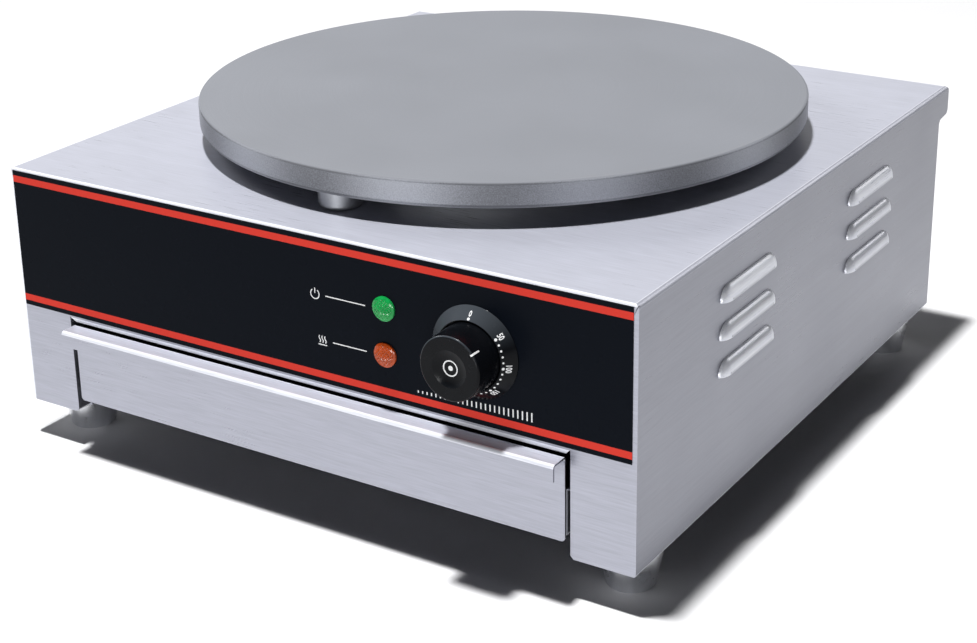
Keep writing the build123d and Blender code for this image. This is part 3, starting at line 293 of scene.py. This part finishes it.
def brushed_sheet(name, colour, roughness=0.33):
    """Brushed stainless sheet, with painted light and shade in its colour for each way that it faces."""
    made = Shading(name, colour, 1.0, roughness)
    grain = brushed_noise(made, BRUSHING, 4.0)
    coarse = brushed_noise(made, COARSE_BRUSHING, 2.0)
    smudge = made.noise((11, 11, 11), 5.0)
    streak = made.math("ADD", made.spread(grain, -0.30, 0.30), made.spread(coarse, -0.09, 0.09))
    tone = made.math("ADD", streak, 0.5)
    rough = made.math("ADD", made.spread(grain, roughness - 0.05, roughness + 0.05),
                      made.spread(smudge, -0.035, 0.035))
    relief = made.bump(grain, 0.16, 0.05 * MM)
    relief = made.bump(coarse, 0.10, 0.06 * MM, relief)
    relief = made.bump(smudge, 0.05, 0.8 * MM, relief)
    direction = made.node("SeparateXYZ", {0: made.coordinates.outputs["Normal"]})
    under = made.math("LESS_THAN", direction.outputs[2], UNDER_LIMIT)
    height = made.node("SeparateXYZ", {0: made.coordinates.outputs["Object"]}).outputs[2]
    # painted shade: the top few millimetres of the sides, where the roof folds down, are painted darker to damp
    # the fold's highlight
    roof_shade_band = made.math("GREATER_THAN", height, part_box("outer_casing")[1].z - ROOF_SHADE_HEIGHT)
    side, front, top = [made.faces(axis, *FLAT_LIMITS) for axis in range(3)]
    # painted highlight: folds, bends and louvre hoods start from a colour painted lighter than the flat sheet
    shaded = made.blend(tone, *tints(colour, [shade * FOLD_PAINTED_HIGHLIGHT for shade in SHEET_SHADES]))
    # painted light and shade: the top, front, sides and underside are each painted darker by a share of their own
    for face, share in (
        (made.math("MULTIPLY", roof_shade_band, made.faces(0, 0.1, 0.3)), ROOF_FOLD_PAINTED_SHADE),
        (top, TOP_PAINTED_SHADE),
        (front, FRONT_PAINTED_SHADE),
        (side, SIDE_PAINTED_SHADE),
        (under, UNDER_PAINTED_SHADE),
    ):
        painted_facing = made.blend(tone, *tints(colour, [shade * share for shade in SHEET_SHADES]))
        shaded = made.blend(face, shaded, painted_facing)
    level = made.choose(top, FOLD_METALLIC, SHEET_TOP_METALLIC)
    upright = made.math("MAXIMUM", side, front)
    return made.finish(shaded, rough, relief, made.choose(upright, level, SHEET_METALLIC))


def turned_iron(name, colour, roughness):
    """Machined iron: pores, stains and faint rings about its axis; its rim painted darker with soft bands of
    painted reflection, and its rounded edges painted darker as painted shade.
    """
    made = Shading(name, colour, 0.3, roughness)
    low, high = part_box("griddle_plate")
    centre = [-(low[i] + high[i]) / 2 for i in range(2)] + [0.0]
    place = made.node(
        "Mapping", {"Vector": made.coordinates.outputs["Object"], "Location": centre, "Scale": (1, 1, 0)}
    )
    radius = made.node("VectorMath", {0: place.outputs[0]}, operation="LENGTH").outputs["Value"]
    ring_place = made.node("CombineXYZ", {0: made.math("MULTIPLY", radius, RING_SCALE)})
    rings = made.node(
        "TexNoise", {"Vector": ring_place.outputs[0], "Scale": 1.0, "Detail": 4.0}
    ).outputs["Fac"]
    pores = made.noise((1700, 1700, 1700), 3.0)
    stains = made.noise((13, 13, 13), 6.0, (0.3, 0.1, 0.0))
    speckle = made.noise((420, 420, 420), 2.0)
    on_rim = made.math("SUBTRACT", 1.0, made.faces(2, 0.5, 0.9))
    across = made.node("SeparateXYZ", {0: place.outputs[0]})
    # painted reflection: bright and dark bands round the rim, standing in for the studio reflected in the turned
    # rim
    turn = made.math("ARCTAN2", across.outputs[0], made.math("MULTIPLY", across.outputs[1], -1.0))
    first_reflection = -RIM_REFLECTION_BANDS * math.radians(RIM_REFLECTION_ANGLE)
    bands = made.math("COSINE", made.math("MULTIPLY_ADD", turn, RIM_REFLECTION_BANDS, first_reflection))
    tone = made.math("ADD", made.spread(stains, 0.45, 0.55), made.spread(pores, -0.22, 0.22))
    tone = made.math("ADD", tone, made.spread(rings, -0.22, 0.22))
    rough = made.math("ADD", made.spread(stains, roughness - 0.03, roughness + 0.05),
                      made.spread(rings, -0.04, 0.04))
    on_round = made.math("SUBTRACT", made.faces(2, 0.02, 0.1), made.faces(2, 0.98, 0.999))
    rough = made.math("MULTIPLY_ADD", on_round, 0.3, rough)
    # painted shade: rounded edges are painted darker to damp their highlight
    tone = made.math("MULTIPLY_ADD", on_round, -0.3, tone)
    relief = made.bump(pores, 0.35, 0.12 * MM)
    relief = made.bump(rings, 0.12, 0.05 * MM, relief)
    relief = made.bump(speckle, 0.08, 0.12 * MM, relief)
    top = made.blend(tone, *tints(colour, SHEET_SHADES))
    # the rim's colour swings between a painted-dark and a painted-light share, following the painted reflection
    # bands
    reflection_tone = made.math("MULTIPLY_ADD", bands, RIM_REFLECTION_DEPTH, tone)
    rim = made.blend(reflection_tone, *tints(colour, RIM_PAINTED_SHADES))
    return made.finish(made.blend(on_rim, top, rim), rough, relief)


def plain_metal(name, colour, roughness, grain=(900, 900, 900), strength=0.2):
    """Plated or turned metal with a fine grain and slight stains; a grain stretched along one axis also paints
    streaks of painted reflection.
    """
    made = Shading(name, colour, 1.0, roughness)
    fine = made.noise(grain, 3.0)
    stains = made.noise((60, 60, 60), 4.0)
    tone = made.math("ADD", made.spread(stains, 0.3, 0.7), made.spread(fine, -0.15, 0.15))
    rough = made.spread(stains, roughness - 0.05, roughness + 0.06)
    shaded = made.blend(tone, *tints(colour, METAL_SHADES))
    return made.finish(shaded, rough, made.bump(fine, strength, 0.04 * MM))


def moulded(name, colour, roughness, specular=0.5, grain=2600, strength=0.12, painted_sheen=None):
    """Moulded plastic with a fine grain and dust; the last argument, if given, is the colour of a painted sheen on
    faces that lean upwards and left.
    """
    made = Shading(name, colour, 0.0, roughness, Specular_IOR_Level=specular)
    fine = made.noise((grain, grain, grain), 2.0)
    dust = made.noise((90, 90, 90), 5.0)
    light = [channel * 1.25 + 0.002 for channel in colour]
    rough = made.spread(dust, roughness - 0.04, roughness + 0.06)
    shaded = made.blend(made.spread(dust, 0.0, 0.6), colour, light)
    if painted_sheen is not None:
        # painted sheen: sloping faces are painted lighter where they lean up and to the left, towards the lights
        direction = made.node("SeparateXYZ", {0: made.coordinates.outputs["Normal"]})
        lean = made.math("MULTIPLY_ADD", direction.outputs[0], -0.5, direction.outputs[2])
        raised = made.node("MapRange", {"Value": lean, "From Min": -0.1, "From Max": 0.75}).outputs[0]
        sheen_mask = made.math("SUBTRACT", made.faces(1, 0.3, 0.4), made.faces(1, 0.85, 0.97))
        sheen_mask = made.math("MULTIPLY", sheen_mask, raised)
        shaded = made.blend(sheen_mask, shaded, painted_sheen)
    return made.finish(shaded, rough, made.bump(fine, strength, 0.03 * MM))


def printed_film():
    """Black printed film with a red stripe near its top and its bottom edge."""
    black, red = (0.0038, 0.0053, 0.0088), (0.66, 0.048, 0.033)
    made = Shading("panel_film", black, 0.0, 0.3, Specular_IOR_Level=0.03)
    height = made.node("SeparateXYZ", {0: made.coordinates.outputs["Object"]}).outputs[2]
    inset = STRIPE_MARGIN + STRIPE_WIDTH / 2
    stripes = made.math(
        "MAXIMUM",
        made.math("COMPARE", height, film_high.z - inset, STRIPE_WIDTH / 2),
        made.math("COMPARE", height, film_low.z + inset, STRIPE_WIDTH / 2),
    )
    grain = made.noise((3200, 3200, 3200), 2.0)
    waves = made.noise((16, 16, 30), 2.0)
    rough = made.spread(made.noise((70, 70, 70), 4.0), 0.24, 0.34)
    relief = made.bump(grain, 0.06, 0.02 * MM)
    relief = made.bump(waves, 0.06, 0.6 * MM, relief)
    return made.finish(made.blend(stripes, black, red), rough, relief)


def lens_plastic(name, colour):
    """Glossy coloured plastic of a lamp, with a slight cloud in its colour."""
    made = Shading(name, colour, 0.0, 0.12, Specular_IOR_Level=0.35)
    cloud = made.noise((500, 500, 500), 2.0)
    return made.finish(made.blend(made.spread(cloud, 0.3, 1.0), *tints(colour, LENS_SHADES)))


def mineral_board():
    """Pressed mineral fibre: matt, with long matted fibres."""
    made = Shading("mineral_wool", (0.62, 0.56, 0.42), 0.0, 0.95)
    fibres = made.noise((900, 160, 900), 6.0)
    tone = made.blend(made.spread(fibres, 0.0, 1.0), (0.45, 0.40, 0.29), (0.70, 0.64, 0.50))
    return made.finish(tone, None, made.bump(fibres, 0.8, 0.5 * MM))


def print_ink(name, colour):
    """Silk-screened ink, slightly uneven."""
    made = Shading(name, colour, 0.0, 0.5)
    cloud = made.noise((1500, 1500, 1500), 3.0)
    return made.finish(made.blend(made.spread(cloud, 0.0, 1.0), *tints(colour, INK_SHADES)))


finishes = {
    "brushed_stainless": brushed_sheet("brushed_stainless", (0.645, 0.66, 0.755)),
    "zinc_sheet": plain_metal("zinc_sheet", (0.50, 0.51, 0.52), 0.42, (240, 240, 240)),
    "plated_fasteners": plain_metal("plated_fasteners", (0.60, 0.60, 0.60), 0.28),
    "griddle_iron": turned_iron("griddle_iron", (0.253, 0.263, 0.291), 0.55),
    "post_steel": plain_metal("post_steel", (0.34, 0.35, 0.37), 0.48, (700, 700, 700), 0.7),
    # the feet's grain is stretched upright: vertical streaks of painted reflection in the colour, as well as bumps
    "foot_steel": plain_metal("foot_steel", (0.72, 0.73, 0.76), 0.30, (240, 240, 9), 0.5),
    "panel_film": printed_film(),
    "green_lens": lens_plastic("green_lens", (0.008, 0.34, 0.070)),
    "amber_lens": lens_plastic("amber_lens", (0.46, 0.064, 0.009)),
    "black_plastic": moulded("black_plastic", (0.016, 0.016, 0.017), 0.5),
    # the dial's cone carries a painted sheen
    "dial_plastic": moulded(
        "dial_plastic", (0.0026, 0.0031, 0.0044), 0.22, 0.11, painted_sheen=(0.052, 0.060, 0.070)
    ),
    "element_sheath": plain_metal("element_sheath", (0.16, 0.15, 0.14), 0.55, (700, 700, 700), 0.5),
    "mineral_wool": mineral_board(),
    "copper_bulb": plain_metal("copper_bulb", (0.74, 0.38, 0.24), 0.3),
    "ceramic": moulded("ceramic", (0.80, 0.79, 0.74), 0.2, 0.5, 500, 0.05),
    "brass": plain_metal("brass", (0.76, 0.56, 0.26), 0.26),
}
white_ink = print_ink("white_ink", (0.92, 0.93, 0.94))

for subpart in frame["record"]["subparts"]:
    surface = nodes[subpart["node"]].data
    surface.materials.clear()
    surface.materials.append(finishes[subpart["material_slot"]])
    for polygon in surface.polygons:
        polygon.material_index = 0


# ------------------------------------------------------------------ mesh helpers


def make_piece(name, shape, material, body):
    """Turns a bmesh into a piece that rides on a body."""
    mesh = bpy.data.meshes.new(name)
    bmesh.ops.recalc_face_normals(shape, faces=shape.faces)
    shape.to_mesh(mesh)
    shape.free()
    piece = bpy.data.objects.new(name, mesh)
    bpy.context.scene.collection.objects.link(piece)
    mesh.materials.append(material)
    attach(piece, body)
    return piece


def smooth(piece, crease=40):
    """Smooth shading up to a crease angle in degrees."""
    mesh = piece.data
    mesh.shade_smooth()
    mesh.set_sharp_from_angle(angle=math.radians(crease))


def add_prism(shape, outline, low, high, lay):
    """Closed plate with a flat outline; lay puts (u, v, height) on the surface."""
    bottom = [shape.verts.new(lay(u, v, low)) for u, v in outline]
    top = [shape.verts.new(lay(u, v, high)) for u, v in outline]
    shape.faces.new(bottom)
    shape.faces.new(top)
    for i, corner in enumerate(bottom):
        after = (i + 1) % len(bottom)
        shape.faces.new((corner, bottom[after], top[after], top[i]))


def add_stroke(shape, path, width, lay, closed=False, low=0.0, high=PRINT_DEPTH):
    """Closed ribbon of even width along a flat path."""
    count = len(path)
    sides = []
    for i, (u, v) in enumerate(path):
        before = path[i - 1] if closed or i > 0 else path[i]
        after = path[(i + 1) % count] if closed or i < count - 1 else path[i]
        along = Vector(after) - Vector(before)
        across = Vector((-along.y, along.x)).normalized() * width / 2
        centre = Vector((u, v))
        sides.append([
            shape.verts.new(lay(*(centre + across * side), height))
            for height in (low, high)
            for side in (1, -1)
        ])
    spans = list(zip(sides, sides[1:]))
    if closed:
        spans.append((sides[-1], sides[0]))
    ring = (0, 1, 3, 2)
    for start, end in spans:
        for i, j in zip(ring, ring[1:] + ring[:1]):
            shape.faces.new((start[i], start[j], end[j], end[i]))
    if not closed:
        for cap in (sides[0], sides[-1]):
            shape.faces.new([cap[i] for i in ring])


def arc(centre, radius, start, end, steps):
    """Points along an arc, angles in degrees."""
    angles = [math.radians(start + (end - start) * i / steps) for i in range(steps + 1)]
    return [(centre[0] + radius * math.cos(a), centre[1] + radius * math.sin(a)) for a in angles]


def add_lathe(shape, outline, axis, steps=288):
    """Closed solid turned about an upright axis; the outline runs from the axis back to the axis."""
    rings = []
    for radius, height in outline:
        turns = steps if radius > 0 else 1
        rings.append([
            shape.verts.new((
                axis[0] + radius * math.cos(2 * math.pi * i / steps),
                axis[1] + radius * math.sin(2 * math.pi * i / steps),
                height,
            ))
            for i in range(turns)
        ])
    for low, high in zip(rings, rings[1:]):
        for i in range(steps):
            after = i + 1
            lower = (low[i % len(low)], low[after % len(low)])
            upper = (high[after % len(high)], high[i % len(high)])
            shape.faces.new(list(dict.fromkeys(lower + upper)))


def add_disc(shape, centre, radius, lay, low=0.0, high=PRINT_DEPTH, steps=20):
    """Closed round plate."""
    add_prism(shape, arc(centre, radius, 0, 360, steps)[:-1], low, high, lay)


def add_number(shape, text, size, squeeze, lay, depth=PRINT_DEPTH):
    """Digits centred on the origin of lay, as closed solids."""
    curve = bpy.data.curves.new("digits", "FONT")
    curve.body = text
    curve.size = size
    curve.align_x = "CENTER"
    curve.align_y = "CENTER"
    curve.extrude = depth / 2
    curve.offset = NUMBER_BOLD
    curve.resolution_u = 3
    holder = bpy.data.objects.new("digits", curve)
    outline = bpy.data.meshes.new_from_object(holder)
    for vertex in outline.vertices:
        u, v, height = vertex.co
        vertex.co = lay(u * squeeze, v, height + depth / 2)
    shape.from_mesh(outline)
    bpy.data.objects.remove(holder)
    bpy.data.curves.remove(curve)
    bpy.data.meshes.remove(outline)


def on_film(u, v, height):
    """Place on the film: u is the row frame's X, v its Z, height stands proud."""
    return Vector((u, film_face - PRINT_LIFT - height, v))


# ------------------------------------------------------------------------ griddle

plate_low, plate_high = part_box("griddle_plate")
plate_axis = (plate_low + plate_high) / 2
plate_radius = (plate_high.x - plate_low.x) / 2
ceiling = plate_low.z + POCKET_DEPTH
pocket_round = (POCKET_RADIUS - POCKET_ROUND, ceiling - POCKET_ROUND)
low_round = (plate_radius - PLATE_LOW_ROUND, plate_low.z + PLATE_LOW_ROUND)
top_round = (plate_radius - PLATE_TOP_ROUND, plate_high.z - PLATE_TOP_ROUND)
plate_outline = [
    (0.0, ceiling),
    *arc(pocket_round, POCKET_ROUND, 90, 0, POCKET_STEPS),
    (POCKET_RADIUS, plate_low.z),
    *arc(low_round, PLATE_LOW_ROUND, -90, 0, EDGE_STEPS),
    (plate_radius, low_round[1] + PLATE_FLAT_GUARD),
    (plate_radius, top_round[1] - PLATE_FLAT_GUARD),
    *arc(top_round, PLATE_TOP_ROUND, 0, 90, EDGE_STEPS),
    (top_round[0] - PLATE_FLAT_GUARD, plate_high.z),
    (0.0, plate_high.z),
]
plate_shape = bmesh.new()
add_lathe(plate_shape, plate_outline, plate_axis)
plate = make_piece("griddle_plate_turned", plate_shape, finishes["griddle_iron"], "casing")
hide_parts("griddle_plate")
smooth(plate)

# ------------------------------------------------------------- marks on the film

lamp_centres = {}
for lamp in ("power_lamp_lens", "heat_lamp_lens"):
    lamp_low, lamp_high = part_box(lamp)
    lamp_centres[lamp] = (lamp_low + lamp_high) / 2


def draw_power_symbol(shape, centre, radius):
    """Open ring with a bar in its gap."""
    add_stroke(shape, arc(centre, radius, *POWER_ARC, 28), SYMBOL_STROKE, on_film)
    bar = [(centre[0], centre[1] + radius * reach) for reach in POWER_BAR]
    add_stroke(shape, bar, SYMBOL_STROKE, on_film)


def draw_heat_symbol(shape, centre, height):
    """Three rising waves over a bar."""
    low, high = HEAT_WAVE_ENDS
    for n in (-1, 0, 1):
        start = centre[0] + n * height * HEAT_WAVE_GAP
        wave = []
        for i in range(HEAT_WAVE_STEPS + 1):
            share = i / HEAT_WAVE_STEPS
            swing = HEAT_WAVE_SWING * math.sin(2 * math.pi * share)
            wave.append((start + height * swing, centre[1] + height * (low + (high - low) * share)))
        add_stroke(shape, wave, SYMBOL_STROKE, on_film)
    reach, level = HEAT_BAR
    bar = [(centre[0] + side * height * reach, centre[1] + height * level) for side in (-1, 1)]
    add_stroke(shape, bar, SYMBOL_STROKE, on_film)


lamp_marks = bmesh.new()
power_z = lamp_centres["power_lamp_lens"].z - SYMBOL_DROP
heat_z = lamp_centres["heat_lamp_lens"].z - SYMBOL_DROP
draw_power_symbol(lamp_marks, (POWER_SYMBOL[0], power_z), POWER_SYMBOL[1])
draw_heat_symbol(lamp_marks, (HEAT_SYMBOL[0], heat_z), HEAT_SYMBOL[1])
for start, level in ((RULE_ENDS[0], power_z), (RULE_ENDS[0] + HEAT_RULE_INSET, heat_z)):
    rule = [(start, level), (RULE_ENDS[1], level)]
    add_stroke(lamp_marks, rule, SYMBOL_STROKE, on_film)
make_piece("lamp_symbols", lamp_marks, white_ink, "casing")

wedge = bmesh.new()
wedge_low = film_low.z + STRIPE_MARGIN + STRIPE_WIDTH + WEDGE_RISE
for tick in range(WEDGE_TICKS):
    share = tick / (WEDGE_TICKS - 1)
    tick_x = WEDGE_ENDS[0] + (WEDGE_ENDS[1] - WEDGE_ENDS[0]) * share
    tick_top = wedge_low + WEDGE_HEIGHT * (WEDGE_FIRST_SHARE + (1 - WEDGE_FIRST_SHARE) * share)
    add_stroke(wedge, [(tick_x, wedge_low), (tick_x, tick_top)], WEDGE_STROKE, on_film)
make_piece("heat_scale", wedge, white_ink, "casing")

# ------------------------------------------------------------------- dial scale

cone_outer_radius = (bezel_high.x - bezel_low.x) / 2
cone_rise = film_face - CONE_OUTER_HEIGHT - bezel_low.y
cone_run = cone_outer_radius - CONE_INNER_RADIUS
cone_slant = math.hypot(cone_rise, cone_run)


def on_cone(angle, place):
    """Lay function for a mark at a clock angle and a distance down the slope."""

    def lay(u, v, height):
        down = place + v
        out = height + PRINT_LIFT
        radius = CONE_INNER_RADIUS + (down * cone_run + out * cone_rise) / cone_slant
        turn = math.radians(angle) + u / radius
        depth = bezel_low.y + (down * cone_rise - out * cone_run) / cone_slant
        return Vector((dial_x + radius * math.sin(turn), depth, dial_z + radius * math.cos(turn)))

    return lay


def mark_angle(value):
    """Clock angle of a value on the scale."""
    return FIRST_MARK_ANGLE + (value - FIRST_MARK) / MARK_STEP * DEGREES_PER_MARK


scale_marks = bmesh.new()
add_disc(scale_marks, (0, 0), STRONG_DOT_RADIUS, on_cone(0, DOT_PLACE))
add_number(scale_marks, "0", NUMBER_SIZE, NUMBER_SQUEEZE, on_cone(0, NUMBER_PLACE))
for value in range(FIRST_MARK, LAST_MARK + MARK_STEP, MARK_STEP):
    strong = value % NUMBER_STEP == 0
    dot = STRONG_DOT_RADIUS if strong else DOT_RADIUS
    add_disc(scale_marks, (0, 0), dot, on_cone(mark_angle(value), DOT_PLACE))
    if strong:
        number_lay = on_cone(mark_angle(value), NUMBER_PLACE)
        add_number(scale_marks, str(value), NUMBER_SIZE, NUMBER_SQUEEZE, number_lay)
make_piece("dial_scale", scale_marks, white_ink, "casing")

# ---------------------------------------------------------------- marks on knob

knob_face = knob_low.y
dish_sphere = (KNOB_DISH_RADIUS**2 + KNOB_DISH_DEPTH**2) / (2 * KNOB_DISH_DEPTH)


def in_dish(u, v, height):
    """Place in the finger dish of the knob, u to the right and v up."""
    across = math.hypot(u, v)
    deep = KNOB_DISH_DEPTH - (dish_sphere - math.sqrt(dish_sphere**2 - across**2))
    return Vector((dial_x + u, knob_face + deep - PRINT_LIFT - height, dial_z + v))


knob_face_radius = (knob_high.x - knob_low.x) / 2 - KNOB_FACE_INSET


def turned(point):
    """Turns a point above the knob's axis to the pointer's clock angle."""
    x, y, z = point
    angle = math.radians(FIRST_MARK_ANGLE)
    return Vector((
        dial_x + x * math.cos(angle) + z * math.sin(angle),
        y,
        dial_z - x * math.sin(angle) + z * math.cos(angle),
    ))


def on_pointer(u, v, height):
    """Along the pointer: v runs over the face, round the edge and down the barrel."""
    bend = KNOB_EDGE * math.pi / 2
    flat = knob_face_radius - KNOB_EDGE
    if v <= 0:
        return turned((u, knob_face - height, flat + v))
    if v < bend:
        angle = v / KNOB_EDGE
        reach = KNOB_EDGE + height
        return turned((
            u,
            knob_face + KNOB_EDGE - reach * math.cos(angle),
            flat + reach * math.sin(angle),
        ))
    return turned((u, knob_face + KNOB_EDGE + v - bend, knob_face_radius + height))


knob_marks = bmesh.new()
ring_path = arc((0, 0), KNOB_RING_RADIUS, 0, 360, 48)[:-1]
add_stroke(knob_marks, ring_path, KNOB_RING_WIDTH, in_dish, closed=True)
add_disc(knob_marks, (0, 0), KNOB_DOT_RADIUS, in_dish)
make_piece("knob_centre_mark", knob_marks, white_ink, "knob")

pointer = bmesh.new()
pointer_span = POINTER_FACE_LENGTH + POINTER_SIDE_LENGTH
pointer_path = [
    (0.0, pointer_span * i / POINTER_STEPS - POINTER_FACE_LENGTH) for i in range(POINTER_STEPS + 1)
]
add_stroke(pointer, pointer_path, POINTER_WIDTH, on_pointer, low=-POINTER_DEPTH, high=2 * PRINT_LIFT)
make_piece("knob_pointer", pointer, white_ink, "knob")

# ------------------------------------------------------------------ lamp waffles

dome_sphere = (DOME_RADIUS**2 + DOME_RISE**2) / (2 * DOME_RISE)


def waffle(centre, dome_top):
    """Thin closed cap of small pyramids over the dome of a lens."""
    shape = bmesh.new()
    layers = []
    for raised in (False, True):
        grid = []
        for row in range(WAFFLE_STEPS + 1):
            line = []
            for column in range(WAFFLE_STEPS + 1):
                a = 2 * column / WAFFLE_STEPS - 1
                b = 2 * row / WAFFLE_STEPS - 1
                x = DOME_RADIUS * a * math.sqrt(1 - b * b / 2)
                z = DOME_RADIUS * b * math.sqrt(1 - a * a / 2)
                sag = dome_sphere - math.sqrt(max(dome_sphere**2 - x * x - z * z, 0))
                cells = [turn / (math.sqrt(2) * WAFFLE_PITCH) % 1 - 0.5 for turn in (x + z, x - z)]
                edge = max(map(abs, cells))
                relief = WAFFLE_RELIEF * (1 - 2 * edge) + PRINT_LIFT if raised else 0.0
                line.append(shape.verts.new((centre.x + x, dome_top + sag - relief, centre.z + z)))
            grid.append(line)
        layers.append(grid)
        for low_row, high_row in zip(grid, grid[1:]):
            for i in range(WAFFLE_STEPS):
                shape.faces.new((low_row[i], low_row[i + 1], high_row[i + 1], high_row[i]))
    for base, cap in zip(*[border(grid) for grid in layers]):
        shape.faces.new((base[0], base[1], cap[1], cap[0]))
    return shape


def border(grid):
    """Pairs of neighbouring vertices round the edge of a square grid."""
    loop = grid[0] + [line[-1] for line in grid[1:-1]] + grid[-1][::-1]
    loop += [line[0] for line in grid[-2:0:-1]]
    return list(zip(loop, loop[1:] + loop[:1]))


for lamp, slot in (("power_lamp_lens", "green_lens"), ("heat_lamp_lens", "amber_lens")):
    cap = waffle(lamp_centres[lamp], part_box(lamp)[0].y)
    make_piece(lamp.replace("lens", "waffle"), cap, finishes[slot], "casing")

# ------------------------------------------------------------------------- stage


def floor_material():
    """Plain pale floor."""
    made = Shading("studio_floor", (0.94, 0.94, 0.95), 0.0, 0.55, Specular_IOR_Level=0.2)
    cloud = made.noise((3, 3, 3), 3.0)
    tone = made.blend(made.spread(cloud, 0.0, 1.0), (0.93, 0.93, 0.94), (0.95, 0.95, 0.96))
    return made.finish(tone)


def add_floor():
    """Flat floor, under the feet."""
    mesh = bpy.data.meshes.new("studio_floor")
    half = FLOOR_SIZE / 2
    corners = [(-half, -half, 0), (half, -half, 0), (half, half, 0), (-half, half, 0)]
    mesh.from_pydata(corners, [], [(0, 1, 2, 3)])
    floor = bpy.data.objects.new("studio_floor", mesh)
    bpy.context.scene.collection.objects.link(floor)
    mesh.materials.append(floor_material())
    return floor


def add_softbox(name, place, target, size, energy, spared=None):
    """Rectangular soft light that faces its target; a spared collection is left out of its light."""
    lamp_data = bpy.data.lights.new(name, "AREA")
    lamp_data.shape = "RECTANGLE"
    lamp_data.size, lamp_data.size_y = size
    lamp_data.energy = energy
    light = bpy.data.objects.new(name, lamp_data)
    light.location = place
    light.rotation_mode = "QUATERNION"
    light.rotation_quaternion = (Vector(target) - Vector(place)).to_track_quat("-Z", "Y")
    bpy.context.scene.collection.objects.link(light)
    light.light_linking.receiver_collection = spared


def spare(thing):
    """Collection that keeps a light off one object."""
    group = bpy.data.collections.new("spared")
    group.objects.link(thing)
    group.collection_objects[0].light_linking.link_state = "EXCLUDE"
    return group


def add_world(colour, strength):
    """Even studio surroundings."""
    world = bpy.data.worlds.new("studio")
    world.use_nodes = True
    background = world.node_tree.nodes["Background"]
    background.inputs["Color"].default_value = (*colour, 1.0)
    background.inputs["Strength"].default_value = strength
    bpy.context.scene.world = world


def add_camera():
    """Camera at the photograph's place, angle and framing."""
    azimuth, elevation, roll = map(math.radians, (CAMERA_AZIMUTH, CAMERA_ELEVATION, CAMERA_ROLL))
    back = Vector((
        math.sin(azimuth) * math.cos(elevation),
        -math.cos(azimuth) * math.cos(elevation),
        math.sin(elevation),
    ))
    level = (-back).cross(Vector((0, 0, 1))).normalized()
    above = level.cross(-back)
    right = level * math.cos(roll) + above * math.sin(roll)
    up = above * math.cos(roll) - level * math.sin(roll)
    camera_data = bpy.data.cameras.new("camera")
    camera_data.lens = CAMERA_LENS
    camera_data.shift_y = CAMERA_SHIFT
    camera = bpy.data.objects.new("camera", camera_data)
    camera.matrix_world = Matrix.Translation(CAMERA_PLACE) @ Matrix((right, up, back)).transposed().to_4x4()
    bpy.context.scene.collection.objects.link(camera)
    bpy.context.scene.camera = camera


add_camera()
bare_floor = spare(add_floor())
add_world(WORLD_COLOUR, WORLD_STRENGTH)
for light_name, (*setting, floor_spared) in LIGHTS.items():
    add_softbox(light_name, *setting, bare_floor if floor_spared else None)
bpy.context.scene.view_settings.view_transform = "Standard"
